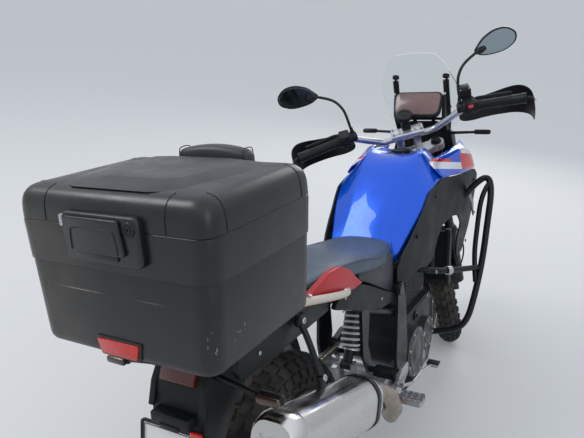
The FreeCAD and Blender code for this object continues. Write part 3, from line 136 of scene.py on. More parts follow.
def set_world():
    """A soft sky, brighter overhead, whose lowest part meets the floor's own tone."""
    world = bpy.data.worlds.new("studio")
    bpy.context.scene.world = world
    world.use_nodes = True
    tree = world.node_tree
    sky = tree.nodes["Background"]
    up = tree.nodes.new("ShaderNodeSeparateXYZ")
    tree.links.new(tree.nodes.new("ShaderNodeTexCoord").outputs["Generated"], up.inputs["Vector"])
    ramp = tree.nodes.new("ShaderNodeValToRGB")
    low, top = ramp.color_ramp.elements
    low.position, low.color = 0.0, SKY_LOW
    top.position, top.color = 0.8, SKY_TOP
    ramp.color_ramp.elements.new(0.12).color = SKY_MIDDLE
    tree.links.new(up.outputs["Z"], ramp.inputs["Fac"])
    tree.links.new(ramp.outputs["Color"], sky.inputs["Color"])
    sky.inputs["Strength"].default_value = SKY_STRENGTH


def set_stage():
    """A plain pale floor under soft light."""
    shape = bmesh.new()
    bmesh.ops.create_grid(shape, x_segments=1, y_segments=1, size=FLOOR_REACH)
    mesh = bpy.data.meshes.new("floor")
    shape.to_mesh(mesh)
    shape.free()
    floor = bpy.data.objects.new("floor", mesh)
    bpy.context.scene.collection.objects.link(floor)
    pale = bpy.data.materials.new("pale_floor")
    pale.use_nodes = True
    shader = pale.node_tree.nodes["Principled BSDF"]
    shader.inputs["Base Color"].default_value = FLOOR_TONE
    shader.inputs["Roughness"].default_value = 0.9
    shader.inputs["Specular IOR Level"].default_value = 0.1
    mesh.materials.append(pale)
    set_world()
    for lamp in LAMPS:
        soft_lamp(*lamp)
    bpy.context.scene.view_settings.view_transform = "Standard"


set_stage()


# Materials
class Finish:
    """A material's nodes: a Principled shader with patterns on Object coordinates."""

    def __init__(self, name, colour, rough, metal=0.0, **sockets):
        self.material = bpy.data.materials.new(name)
        self.material.use_nodes = True
        self.tree = self.material.node_tree
        self.shader = self.tree.nodes["Principled BSDF"]
        self.set("Base Color", (*colour, 1))
        self.set("Roughness", rough)
        self.set("Metallic", metal)
        for socket, value in sockets.items():
            self.set(socket.replace("_", " "), value)
        self.where = self.tree.nodes.new("ShaderNodeTexCoord").outputs["Object"]
        self.height = None

    def set(self, socket, value):
        """Sets one of the shader's own sockets."""
        self.shader.inputs[socket].default_value = value

    def node(self, kind, **inputs):
        """A new node with its inputs set or linked."""
        node = self.tree.nodes.new(kind)
        for key, value in inputs.items():
            socket = node.inputs[key.replace("_", " ")]
            if isinstance(value, bpy.types.NodeSocket):
                self.tree.links.new(value, socket)
            else:
                socket.default_value = value
        return node

    def noise(self, scale, detail=3.0, rough=0.55, stretch=None):
        """A noise pattern, as a value."""
        where = self.where
        if stretch:
            where = self.node("ShaderNodeMapping", Vector=where, Scale=stretch).outputs["Vector"]
        return self.node("ShaderNodeTexNoise", Vector=where, Scale=scale, Detail=detail,
                         Roughness=rough).outputs["Fac"]

    def cells(self, scale):
        """A cell pattern, as a distance."""
        return self.node("ShaderNodeTexVoronoi", Vector=self.where, Scale=scale).outputs["Distance"]

    def band(self, value, low, high, to_low=0.0, to_high=1.0):
        """A value brought from one range to another, held at its ends."""
        return self.node("ShaderNodeMapRange", Value=value, From_Min=low, From_Max=high, To_Min=to_low,
                         To_Max=to_high).outputs["Result"]

    def math(self, kind, first, second):
        """Two values combined."""
        node = self.tree.nodes.new("ShaderNodeMath")
        node.operation = kind
        for socket, value in zip(node.inputs, (first, second)):
            if isinstance(value, bpy.types.NodeSocket):
                self.tree.links.new(value, socket)
            else:
                socket.default_value = value
        return node.outputs[0]

    def along(self, *direction, origin=BIKE):
        """The distance along a direction of the upright machine, in metres."""
        axis = origin.to_3x3() @ Vector(direction)
        dot = self.tree.nodes.new("ShaderNodeVectorMath")
        dot.operation = "DOT_PRODUCT"
        self.tree.links.new(self.where, dot.inputs[0])
        dot.inputs[1].default_value = axis
        return self.math("SUBTRACT", dot.outputs["Value"], axis.dot(origin.translation))

    def window(self, value, low, high, soft=0.0005):
        """One between two values and nought outside them."""
        rise = self.band(value, low - soft, low + soft)
        fall = self.band(value, high - soft, high + soft, 1.0, 0.0)
        return self.math("MULTIPLY", rise, fall)

    def paint(self, mask, colour):
        """Another colour where the mask is one."""
        mix = self.tree.nodes.new("ShaderNodeMix")
        mix.data_type = "RGBA"
        under, over = [socket for socket in mix.inputs if socket.type == "RGBA"]
        mixed = next(socket for socket in mix.outputs if socket.type == "RGBA")
        base = self.shader.inputs["Base Color"]
        if base.is_linked:
            self.tree.links.new(base.links[0].from_socket, under)
        else:
            under.default_value = base.default_value
        over.default_value = (*colour, 1)
        self.tree.links.new(mask, mix.inputs[0])
        self.tree.links.new(mixed, base)
        return self

    def roughen(self, value, low, high):
        """Roughness that follows a pattern."""
        rough = self.band(value, 0.3, 0.7, low, high)
        self.tree.links.new(rough, self.shader.inputs["Roughness"])
        return self

    def bump(self, value, strength, depth):
        """Adds a relief to the surface."""
        bump = self.node("ShaderNodeBump", Height=value, Strength=strength, Distance=depth)
        if self.height is not None:
            self.tree.links.new(self.height, bump.inputs["Normal"])
        self.height = bump.outputs["Normal"]
        self.tree.links.new(self.height, self.shader.inputs["Normal"])
        return self


def mottled(name, colour, rough, metal=0.0, grain=600.0, depth=0.0002, wear=(0.16, 0.15, 0.135), amount=0.1,
            **sockets):
    """A moulded or cast surface: fine grain, uneven gloss and a little dust."""
    finish = Finish(name, colour, rough, metal, **sockets)
    dust = finish.band(finish.noise(6, 5), 0.5, 0.8, 0.0, amount)
    finish.paint(dust, wear)
    finish.roughen(finish.noise(14, 4), max(0.03, rough - 0.08), min(1.0, rough + 0.1))
    return finish.bump(finish.noise(grain, 2), 0.35, depth)


def plastic(name, colour=(0.0075, 0.0082, 0.0098), rough=0.42, grain=700.0, depth=0.0002, amount=0.06,
            shine=0.28):
    """Black moulded plastic or paint with a dull sheen."""
    return mottled(name, colour, rough, grain=grain, depth=depth, amount=amount, Specular_IOR_Level=shine)


def brushed(name, colour, rough, stretch, amount=0.25):
    """Bare metal with fine marks along one direction."""
    finish = Finish(name, colour, rough, 1.0)
    marks = finish.noise(60, 4, 0.6, stretch)
    finish.paint(finish.band(marks, 0.35, 0.75, 0.0, amount), [c * 0.55 for c in colour])
    finish.roughen(marks, rough - 0.08, rough + 0.12)
    return finish.bump(marks, 0.15, 0.0002)


def tank_blue(name):
    """Deep blue flake under clear coat, with faint marks from cloths and knees."""
    finish = Finish(name, (0.0, 0.075, 0.60), 0.28, 0.4, Coat_Weight=0.7, Coat_Roughness=0.03,
                    Specular_IOR_Level=0.2)
    flake = finish.cells(1900)
    finish.paint(finish.band(flake, 0.1, 0.5, 0.3, 0.0), (0.0, 0.22, 1.0))
    finish.paint(finish.band(finish.noise(5, 5), 0.58, 0.8, 0.0, 0.06), (0.10, 0.14, 0.24))
    finish.roughen(finish.noise(30, 4), 0.2, 0.32)
    return finish


STRIPE_SLOPE, STRIPE_RED, STRIPE_WHITE = 0.19, (0.62, 0.012, 0.008), (0.72, 0.74, 0.78)
# Each block: its start and end along the machine, its low and high edge above the sloping line, its colour
STRIPES = [
    (0.876, 1.137, 0.978, 1.0045, STRIPE_WHITE), (0.900, 1.062, 1.0045, 1.016, STRIPE_RED),
    (1.137, 1.308, 0.979, 1.041, STRIPE_RED), (1.150, 1.290, 1.041, 1.078, STRIPE_WHITE),
]


def striped_blue():
    """The wing panels' blue with their red and white blocks."""
    finish = tank_blue("blue_striped")
    x = finish.along(1, 0, 0)
    slant = finish.math("MULTIPLY", finish.math("SUBTRACT", x, 1.0), STRIPE_SLOPE)
    rise = finish.math("ADD", finish.along(0, 0, 1), slant)
    for start, end, low, high, colour in STRIPES:
        mask = finish.math("MULTIPLY", finish.window(x, start, end), finish.window(rise, low, high))
        finish.paint(mask, colour)
    return finish


def case_black():
    """The luggage case: grained black, with dust and painted sunlight at the left, rubbed lines and scuffs."""
    finish = plastic("case_plastic", (0.0085, 0.0088, 0.0095), 0.3, grain=520, depth=0.0004, amount=0.04,
                     shine=0.5)
    x, y, z = finish.along(1, 0, 0), finish.along(0, 1, 0), finish.along(0, 0, 1)
    # Brownish tint towards the left side, weaker on the lid: partly real dust, partly painted sunlight.
    blotch = finish.band(finish.noise(9, 5, 0.6), 0.38, 0.7, 0.2, 1.0)
    left = finish.math("MULTIPLY", finish.band(y, 0.0, 0.21, 0.0, 0.34), blotch)
    finish.paint(finish.math("MULTIPLY", left, finish.band(z, 1.15, 1.2, 1.0, 0.45)), (0.15, 0.125, 0.10))
    streak = finish.band(finish.noise(26, 4, 0.6, (1, 0.25, 1)), 0.46, 0.62, 0.0, 0.5)
    line = finish.math("MULTIPLY", finish.window(z, 1.0255, 1.0275, 0.0008), finish.window(y, -0.13, 0.13, 0.02))
    finish.paint(finish.math("MULTIPLY", line, streak), (0.42, 0.37, 0.3))
    scratch = finish.band(finish.noise(170, 6, 0.7, (1, 1, 0.45)), 0.6, 0.66, 0.0, 0.75)
    for start, end in ((-0.488, -0.462), (-0.425, -0.395)):
        spot = finish.math("MULTIPLY", finish.window(x, start, end, 0.008), finish.window(z, 0.935, 0.992, 0.012))
        spot = finish.math("MULTIPLY", spot, finish.band(y, -0.2, -0.19, 1.0, 0.0))
        finish.paint(finish.math("MULTIPLY", spot, scratch), (0.4, 0.4, 0.4))
    return finish


def prism_lens(name, colour):
    """A lamp lens or reflector with rows of small prisms."""
    finish = Finish(name, colour, 0.12, 0.0, Coat_Weight=0.6)
    facets = finish.cells(240)
    finish.paint(finish.band(facets, 0.2, 0.7, 0.0, 0.5), [c * 0.45 for c in colour])
    return finish.bump(facets, 0.5, 0.0008)


def clear_plastic(name, tint, rough, through, bend):
    """A clear moulding with a little haze and fine marks."""
    finish = Finish(name, tint, rough, 0.0, Transmission_Weight=through, IOR=bend)
    finish.paint(finish.band(finish.noise(18, 5), 0.55, 0.8, 0.0, 0.12), (0.72, 0.74, 0.76))
    return finish.roughen(finish.noise(40, 5), rough, rough + 0.06)


def display_face():
    """The instrument glass: dark, with a warm reflection of the sky painted into its colour."""
    finish = Finish("display_glass", (0.07, 0.04, 0.038), 0.22, 0.0, Coat_Weight=0.35, Coat_Roughness=0.1)
    # Painted reflection: warm sky glare in patches, stronger towards the right side.
    haze = finish.math("MULTIPLY", finish.band(finish.noise(7, 3), 0.3, 0.75, 0.35, 0.95),
                       finish.band(finish.along(0, 1, 0), -0.16, 0.1, 1.0, 0.5))
    return finish.paint(haze, (0.27, 0.15, 0.135))


# Every finish by its name: most are the record's material slots
FINISHES = {
    "tyre": mottled("tyre_rubber", (0.022, 0.021, 0.02), 0.8, grain=260, wear=(0.2, 0.17, 0.14), amount=0.55,
                    Specular_IOR_Level=0.3),
    "rim_black": plastic("rim_paint", rough=0.3, grain=900, amount=0.12),
    "disc_steel": brushed("disc_steel", (0.62, 0.62, 0.63), 0.3, (1, 1, 1)),
    "frame_black": plastic("frame_paint", rough=0.34, grain=800),
    "engine_dark": mottled("cast_dark", (0.045, 0.045, 0.05), 0.5, 0.7, grain=420, depth=0.0005),
    "cover_grey": mottled("cast_grey", (0.10, 0.10, 0.105), 0.42, 0.8, grain=420, depth=0.0004),
    "chain_steel": brushed("chain_steel", (0.3, 0.27, 0.22), 0.42, (1, 1, 1)),
    "swing_silver": mottled("swingarm_alloy", (0.42, 0.43, 0.45), 0.4, 0.85, grain=500),
    "axle_steel": brushed("machined_steel", (0.55, 0.55, 0.57), 0.28, (1, 1, 4)),
    "shock": plastic("shock_body", (0.012, 0.012, 0.014), 0.3, 700),
    "caliper": plastic("caliper_paint", (0.012, 0.012, 0.013), 0.35, 700),
    "rack_black": plastic("rack_plastic", rough=0.5),
    "handle_pale": mottled("handle_alloy", (0.56, 0.5, 0.43), 0.45, 0.1, grain=700, amount=0.2),
    "seat_vinyl": mottled("seat_vinyl", (0.052, 0.074, 0.108), 0.45, grain=900, depth=0.0004, amount=0.06),
    "slate_plastic": mottled("slate_plastic", (0.022, 0.027, 0.036), 0.45, grain=700, amount=0.06),
    "seat_red": mottled("seat_red_vinyl", (0.42, 0.004, 0.010), 0.36, grain=700, amount=0.04),
    "black_plastic": plastic("panel_plastic", rough=0.46, grain=750),
    "plate_white": mottled("plate_white", (0.7, 0.7, 0.68), 0.3, grain=300, depth=0.00005, amount=0.15),
    "case_plastic": case_black(),
    "pad_leather": mottled("pad_leather", (0.022, 0.024, 0.03), 0.4, grain=700, depth=0.0004, amount=0.05),
    "lamp_red": prism_lens("lamp_red", (0.62, 0.012, 0.008)),
    "lamp_smoked_red": prism_lens("lamp_smoked_red", (0.10, 0.006, 0.005)),
    "spring_white": mottled("spring_white", (0.55, 0.55, 0.54), 0.35, grain=500, amount=0.15),
    "header_steel": brushed("header_steel", (0.38, 0.31, 0.25), 0.36, (1, 1, 1), 0.5),
    "silencer_steel": mottled("silencer_steel", (0.62, 0.60, 0.58), 0.22, 1.0, grain=900, depth=0.00005,
                              amount=0.0),
    "mirror_glass": mottled("mirror_glass", (0.30, 0.36, 0.40), 0.05, 1.0, grain=40, depth=0.00002, amount=0.03),
    "blue_paint": tank_blue("blue_paint"),
    "blue_striped": striped_blue(),
    "cap_black": plastic("cap_black", rough=0.3),
    "radiator_black": plastic("radiator_black", rough=0.5),
    "lamp_clear": clear_plastic("lamp_lens", (0.9, 0.92, 0.94), 0.06, 0.85, 1.49),
    "screen_clear": clear_plastic("screen_clear", (0.95, 0.97, 0.97), 0.02, 1.0, 1.12),
    "display_glass": display_face(),
    "lamp_amber": prism_lens("lamp_smoked", (0.06, 0.03, 0.018)),
    "skid_silver": brushed("skid_alloy", (0.5, 0.5, 0.51), 0.38, (8, 0.6, 1)),
    "yoke_silver": mottled("yoke_alloy", (0.62, 0.62, 0.63), 0.34, 0.75, grain=600, amount=0.08),
    "fork_tube": plastic("fork_black", rough=0.28),
    "bar_silver": mottled("bar_alloy", (0.5, 0.5, 0.52), 0.28, 0.9, grain=600, amount=0.06),
    "control_black": plastic("grip_rubber", rough=0.55, grain=600),
    "mirror_black": plastic("mirror_shell", rough=0.26, grain=800),
    "stand_black": plastic("stand_paint", rough=0.34),
    "hose_rubber": plastic("hose_rubber", rough=0.5, grain=900),
}


def dress_nodes():
    """Gives every CAD node the finish of its material slot."""
    slots = {row["node"]: row["material_slot"] for row in frame["record"]["subparts"]}
    slots["tank_wings"] = "blue_striped"
    for node, solid in frame["nodes"].items():
        solid.data.materials.clear()
        solid.data.materials.append(FINISHES[slots[node]].material)


dress_nodes()


def place_piece(name, mesh, finish, body, place=None, soft=0, sharp=35):
    """A finished piece: its mesh at its body's place, its material, its body, smooth but for sharp edges."""
    piece = bpy.data.objects.new(name, mesh)
    bpy.context.scene.collection.objects.link(piece)
    mesh.transform(PLACE_OF.get(body, BIKE) if place is None else place)
    mesh.materials.append(FINISHES[finish].material)
    mesh.polygons.foreach_set("use_smooth", [True] * len(mesh.polygons))
    if soft:
        rounds = piece.modifiers.new("rounds", "SUBSURF")
        rounds.levels = rounds.render_levels = soft
    else:
        mesh.set_sharp_from_angle(angle=math.radians(sharp))
    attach(piece, body)
    return piece


def finished(name, shape, finish, body="chassis", place=None, soft=0, sharp=35):
    """Closes a bmesh into a piece."""
    mesh = bpy.data.meshes.new(name)
    bmesh.ops.recalc_face_normals(shape, faces=shape.faces)
    shape.to_mesh(mesh)
    shape.free()
    return place_piece(name, mesh, finish, body, place, soft, sharp)


def softened(shape, width, segments=2, angle=30):
    """Rounds a bmesh's sharp edges by a width in millimetres."""
    edges = [edge for edge in shape.edges if edge.calc_face_angle(0) > math.radians(angle)]
    bmesh.ops.bevel(shape, geom=edges, offset=width / 1000, segments=segments, profile=0.5, affect="EDGES",
                    material=-1, clamp_overlap=True)
    return shape


def lathe(profile, segments=24, closed=False):
    """A shape turned about z from radii and heights in millimetres."""
    shape = bmesh.new()
    run = [shape.verts.new(mm(radius, 0, height)) for radius, height in profile]
    edges = [shape.edges.new(pair) for pair in zip(run, run[1:])]
    if closed:
        edges.append(shape.edges.new((run[-1], run[0])))
    bmesh.ops.spin(shape, geom=run + edges, cent=(0, 0, 0), axis=(0, 0, 1), angle=math.tau, steps=segments,
                   use_merge=True)
    bmesh.ops.remove_doubles(shape, verts=shape.verts, dist=1e-6)
    return shape


def rounded(points, radius, steps=4):
    """An outline's points, in millimetres, its corners rounded."""
    corners = [Vector(point) for point in points]
    run = []
    for i, corner in enumerate(corners):
        back = corners[i - 1] - corner
        ahead = corners[(i + 1) % len(corners)] - corner
        reach = min(radius, 0.48 * back.length, 0.48 * ahead.length)
        enter, leave = corner + back.normalized() * reach, corner + ahead.normalized() * reach
        for step in range(steps + 1):
            share = step / steps
            run.append(enter * (1 - share) ** 2 + corner * 2 * share * (1 - share) + leave * share ** 2)
    return run


def plate(points, push):
    """A flat plate: an outline in millimetres pushed along a direction."""
    shape = bmesh.new()
    face = shape.faces.new([shape.verts.new(Vector(point) / 1000) for point in points])
    grown = bmesh.ops.extrude_face_region(shape, geom=[face])["geom"]
    bmesh.ops.translate(shape, vec=mm(*push), verts=[v for v in grown if isinstance(v, bmesh.types.BMVert)])
    return shape


def block(middle, size, width=2, segments=2):
    """A box about its middle with rounded edges, in millimetres."""
    shape = bmesh.new()
    bmesh.ops.create_cube(shape, size=1)
    bmesh.ops.scale(shape, vec=mm(*size), verts=shape.verts)
    softened(shape, width, segments)
    bmesh.ops.translate(shape, vec=mm(*middle), verts=shape.verts)
    return shape


def copies(shape, places):
    """One bmesh that holds a shape at each of its places."""
    pattern = bpy.data.meshes.new("pattern")
    shape.to_mesh(pattern)
    shape.free()
    whole = bmesh.new()
    for place in places:
        count = len(whole.verts)
        whole.from_mesh(pattern)
        whole.verts.ensure_lookup_table()
        bmesh.ops.transform(whole, matrix=place, verts=whole.verts[count:])
    bpy.data.meshes.remove(pattern)
    return whole


def joined(*shapes):
    """Several bmeshes as one."""
    whole = bmesh.new()
    for shape in shapes:
        part = bpy.data.meshes.new("part")
        shape.to_mesh(part)
        shape.free()
        whole.from_mesh(part)
        bpy.data.meshes.remove(part)
    return whole


def stood(shape, point, direction):
    """A shape drawn about z, stood at a point in millimetres along a direction."""
    return copies(shape, [aimed(point, direction)])


def aimed(point, direction):
    """The place of a shape drawn about z: at a point in millimetres, turned to a direction."""
    heading = Vector(direction).to_track_quat("Z", "Y").to_matrix().to_4x4()
    return Matrix.Translation(mm(*point)) @ heading


def bolt_head(radius, height):
    """A socket bolt's head with its hexagon hole."""
    bore = radius * 0.5
    return lathe([(0, height * 0.45), (bore, height * 0.45), (bore, height), (radius * 0.86, height),
                  (radius, height * 0.8), (radius, -0.5)], 12)


def bolts(name, finish, spots, radius, height, body="chassis"):
    """Bolt heads at points and directions."""
    places = [aimed(point, direction) for point, direction in spots]
    return finished(name, copies(bolt_head(radius, height), places), finish, body)


def facing(x, top, high, foot, low):
    """Corners across the machine at x: half the width at the top and at the foot, and their heights."""
    return [(x, top, high), (x, -top, high), (x, -foot, low), (x, foot, low)]


def side_name(side):
    """The word for a side of the machine: 1 is left."""
    return "left" if side > 0 else "right"


def twins(spots):
    """Points and directions with their mirror images across the middle."""
    return spots + [((x, -y, z), (a, -b, c)) for (x, y, z), (a, b, c) in spots]


def outward(y, points):
    """Spots (x, z) on both sides, at a distance from the middle, facing out."""
    return [((x, side * y, z), (0, side, 0)) for side in (-1, 1) for x, z in points]


def ring_of(shape, points):
    """A closed loop of edges through the points, in metres."""
    corners = [shape.verts.new(point) for point in points]
    return [shape.edges.new((corners[i - 1], corners[i])) for i in range(len(corners))]


def skin(rings, around=False):
    """A bmesh skin over closed rings of points, its ends filled or joined to each other."""
    shape = bmesh.new()
    loops = [ring_of(shape, points) for points in rings]
    pairs = list(zip(loops, loops[1:])) + ([(loops[-1], loops[0])] if around else [])
    for first, second in pairs:
        bmesh.ops.bridge_loops(shape, edges=first + second)
    if not around:
        for loop in (loops[0], loops[-1]):
            bmesh.ops.contextual_create(shape, geom=loop)
    return shape


def both_halves(points):
    """A ring across the machine from its left half, top to bottom, in metres."""
    x = points[0][0]
    return [Vector(p) for p in points] + [Vector((x, -p[1], p[2])) for p in reversed(points)]


def wire(name, points, radius, finish, body="chassis", sides=3):
    """A smooth round cord or bar through points in millimetres, as a mesh."""
    line = bpy.data.curves.new(name, "CURVE")
    line.dimensions = "3D"
    line.bevel_depth = radius / 1000
    line.bevel_resolution = sides
    line.use_fill_caps = True
    run = line.splines.new("NURBS")
    run.points.add(len(points) - 1)
    for spot, point in zip(run.points, points):
        spot.co = (*(Vector(point) / 1000), 1)
    run.order_u = 3
    run.use_endpoint_u = True
    run.resolution_u = 6
    holder = bpy.data.objects.new(name + "_line", line)
    mesh = bpy.data.meshes.new_from_object(holder)
    bpy.data.objects.remove(holder)
    return place_piece(name, mesh, finish, body)


# Seat and backrest. Seat sections, in metres: x, half width, low and high edge
SEAT_RINGS = [
    (0.656, 0.092, 0.742, 0.799), (0.610, 0.108, 0.742, 0.804), (0.530, 0.128, 0.752, 0.810),
    (0.430, 0.142, 0.772, 0.824), (0.340, 0.144, 0.790, 0.852), (0.233, 0.140, 0.818, 0.876),
    (0.100, 0.128, 0.838, 0.886), (-0.020, 0.110, 0.852, 0.886), (-0.082, 0.092, 0.858, 0.878),
]


def seat_cushion():
    """The two-level seat: a crowned cover that pulls in to its base."""
    rings = []
    for x, half, low, high in SEAT_RINGS:
        crown = high + 0.003
        rings.append(both_halves([
            (x, half * 0.22, crown), (x, half * 0.58, high), (x, half * 0.88, high - 0.006),
            (x, half * 1.0, high - 0.018), (x, half * 1.0, low + 0.012), (x, half * 0.95, low),
            (x, half * 0.4, low),
        ]))
    seat = finished("seat_cushion", skin(rings), "seat_vinyl", soft=2)
    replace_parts(seat, "seat")
    for side in (-1, 1):
        seam = [(x * 1000, side * half * 985, high * 1000 - 12) for x, half, low, high in SEAT_RINGS]
        wire("seat_piping_" + side_name(side), seam, 1.6, "seat_vinyl")


seat_cushion()


PAD_DEPTH, PAD_WIDTH, PAD_HEIGHT, PAD_TAPER = 0.048, 0.192, 0.058, 0.22


def rest_pad():
    """The backrest on the lid: a leather roll, narrowed to its ends, with sewn seams."""
    shape = bmesh.new()
    bmesh.ops.create_cube(shape, size=1)
    bmesh.ops.scale(shape, vec=(PAD_DEPTH, PAD_WIDTH, PAD_HEIGHT), verts=shape.verts)
    across = [edge for edge in shape.edges if abs(edge.verts[0].co.y - edge.verts[1].co.y) > PAD_WIDTH / 2]
    bmesh.ops.subdivide_edges(shape, edges=across, cuts=5)
    for vert in shape.verts:
        shrink = 1 - PAD_TAPER * abs(vert.co.y / (PAD_WIDTH / 2)) ** 2
        vert.co.x *= shrink
        vert.co.z = (vert.co.z + PAD_HEIGHT / 2) * shrink - PAD_HEIGHT / 2
    softened(shape, 14, 3, 40)
    bmesh.ops.translate(shape, vec=(-0.150, 0, 1.219), verts=shape.verts)
    pad = finished("rest_pad", shape, "pad_leather", "lid", soft=1)
    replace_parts(pad, "backrest")
    for side in (-1, 1):
        round_end = [(-172, 1200), (-172, 1234), (-164, 1242), (-136, 1242), (-128, 1234), (-128, 1200)]
        seam = [(x, side * 84, z) for x, z in round_end]
        wire("rest_seam_" + side_name(side), seam, 1.2, "pad_leather", "lid")


rest_pad()


# Luggage case: distances behind the rear axle, heights, half widths at the seam and the bottom
CASE_REAR, CASE_FRONT, CASE_BOTTOM, CASE_SEAM = 488, 142, 900, 1153
CASE_HALF, CASE_HALF_LOW, CASE_CORNER, CASE_WALL, BAND_LOW = 232, 214, 38, 4, 1072
HINGE_PLACES, HINGE_AHEAD = (-110, 110), 8


def case_ring(inset, z, half=None):
    """The case's rounded outline at a height, moved in by the inset."""
    if half is None:
        half = CASE_HALF_LOW + (CASE_HALF - CASE_HALF_LOW) * (z - CASE_BOTTOM) / (CASE_SEAM - CASE_BOTTOM)
    rear, front, side = inset - CASE_REAR, -CASE_FRONT - inset, half - inset
    corners = [(rear, side, z), (front, side, z), (front, -side, z), (rear, -side, z)]
    return [point / 1000 for point in rounded(corners, CASE_CORNER - inset * 0.6, 7)]


def case_shell():
    """The case: a tapering tub with a rounded bottom, a raised band under the seam and its hinges."""
    outside = [(20, 900.5), (10, 901.5), (4, 905), (1, 911), (0, 920), (0, BAND_LOW - 4), (0.8, BAND_LOW - 1.5),
               (0.8, BAND_LOW), (-2, BAND_LOW + 2), (-2.2, BAND_LOW + 6), (-2.2, CASE_SEAM - 5),
               (-1.5, CASE_SEAM - 1), (-0.5, CASE_SEAM)]
    inside = [(CASE_WALL, CASE_SEAM), (CASE_WALL, CASE_BOTTOM + 12), (CASE_WALL + 8, CASE_BOTTOM + CASE_WALL)]
    rings = [case_ring(inset, z) for inset, z in outside + inside]
    shell = finished("case_shell", skin(rings), "case_plastic", sharp=28)
    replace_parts(shell, "case_base")
    knuckles = []
    for place in HINGE_PLACES:
        pin = lathe([(0, -30), (3, -30), (3, 30), (0, 30)], 16)
        knuckles.append(stood(pin, (HINGE_AHEAD - CASE_FRONT, place, CASE_SEAM), (0, 1, 0)))
        for side in (-1, 1):
            y = place + side * 23.5
            barrel = lathe([(0, -8.5), (5.2, -8.5), (6, -7.5), (6, 7.5), (5.2, 8.5), (0, 8.5)], 20)
            knuckles.append(stood(barrel, (HINGE_AHEAD - CASE_FRONT, y, CASE_SEAM), (0, 1, 0)))
            knuckles.append(block((3.5 - CASE_FRONT, y, CASE_SEAM - 6), (9, 17, 8), 1))
    finished("hinge_knuckles", joined(*knuckles), "case_plastic")


def case_latch():
    """The latch: a rounded housing, its flap with a pull recess, the lock and a worn pin."""
    rear = -CASE_REAR
    housing = plate(rounded([(rear + 1, 90, 1182), (rear + 1, -98, 1182), (rear + 1, -100, 1092),
                             (rear + 1, 84, 1092)], 16, 5), (-16, 0, 0))
    finished("latch_housing", softened(housing, 4, 3), "case_plastic")
    flap = plate(rounded([(rear - 14, 76, 1176), (rear - 14, -58, 1176), (rear - 14, -66, 1112),
                          (rear - 14, 68, 1112)], 7, 4), (-8, 0, 0))
    finished("latch_flap", softened(flap, 3, 3), "case_plastic")
    sill = plate(rounded([(rear - 15, 58, 1112), (rear - 15, -46, 1112), (rear - 15, -46, 1100),
                          (rear - 15, 58, 1100)], 5, 3), (-3, 0, 0))
    finished("latch_sill", softened(sill, 1, 2), "case_plastic")
    recess = [(60, 1116), (60, 1152), (52, 1158), (-40, 1158), (-50, 1152), (-52, 1116)]
    wire("latch_groove", [(rear - 22.2, y, z) for y, z in recess], 1.1, "frame_black")
    lock = lathe([(0, 1), (2.5, 1), (2.5, 3.2), (7, 3.2), (7, 2.4), (8.6, 2.4), (8.6, 3.6), (12, 3.2),
                  (13.5, 1.6), (14, -1)], 32)
    finished("latch_lock", stood(lock, (rear - 15, -78, 1162), (-1, 0, 0)), "frame_black")
    finished("latch_pin", block((rear - 12, 84, 1166), (14, 9, 22), 2), "bar_silver")


# The lid's wall from the seam to its top: how far in, and how far up
LID_SHAPE = [(-1.4, 1), (-1.4, 3), (-1.2, 16), (-0.4, 28), (1.4, 38), (4.6, 47), (9.4, 54), (16, 59.5), (24, 63),
             (34, 65), (60, 67)]


def lid_cover():
    """The lid's thin outer skin, a soft dome over its four edges, and the raised faceted panel on it."""
    thick = 2.2
    inner = [(inset + thick, max(rise - thick, 1)) for inset, rise in LID_SHAPE]
    rings = [case_ring(inset, CASE_SEAM + rise, CASE_HALF) for inset, rise in LID_SHAPE[::-1] + inner[1:]]
    finished("lid_cover", skin(rings), "case_plastic", "lid", sharp=28)
    foot = [(-466, 92), (-438, 148), (-300, 182), (-184, 166), (-174, 100)]
    crest = [(-410, 74), (-392, 106), (-296, 122), (-214, 112), (-204, 74)]
    levels = [(foot, 1218), (crest, 1229)]
    rings = [[mm(x, y, z) for x, y in half] + [mm(x, -y, z) for x, y in reversed(half)] for half, z in levels]
    finished("lid_panel", softened(skin(rings), 2, 2, 8), "case_plastic", "lid", sharp=50)


def lid_grooves():
    """The parting lines that set the lid's corners off from its middle."""
    for side in (-1, 1):
        across = [(inset - CASE_REAR - 0.3, side * 146, CASE_SEAM + rise) for inset, rise in LID_SHAPE[1:-1]]
        wire("lid_groove_rear_" + side_name(side), across, 1.0, "frame_black", "lid")
        for place, x in (("side", -440), ("ahead", -192)):
            along = [(x, side * (CASE_HALF + 0.3 - inset), CASE_SEAM + rise) for inset, rise in LID_SHAPE[1:-1]]
            wire(f"lid_groove_{place}_{side_name(side)}", along, 0.9, "frame_black", "lid")


def case_reflector():
    """The frame round the case's reflector."""
    rim = plate(rounded(facing(2 - CASE_REAR, 58, 941, 49, 903), 5, 3), (-5, 0, 0))
    finished("reflector_frame", softened(rim, 1, 2), "case_plastic")


case_shell()
case_latch()
lid_cover()
lid_grooves()
case_reflector()


# Tyres: a smooth carcass with rows of blocks, drawn about the axle as z
GROOVE = 6.5


def tyre_carcass(name, node, radius, crown, bead, bead_half, body):
    """A tyre's walls and the bottom of its grooves."""
    shoulder, low = radius - crown, crown - GROOVE
    profile = [(bead, -bead_half), (bead + 8, -bead_half - 3), (bead + 14, -bead_half - 2)]
    for step in range(25):
        angle = math.radians(-90 + 7.5 * step)
        profile.append((shoulder + low * math.cos(angle), (low - 1) * math.sin(angle)))
    profile += [(bead + 14, bead_half + 2), (bead + 8, bead_half + 3), (bead, bead_half)]
    tyre = finished(name, lathe(profile, 96, closed=True), "tyre", body)
    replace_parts(tyre, node)


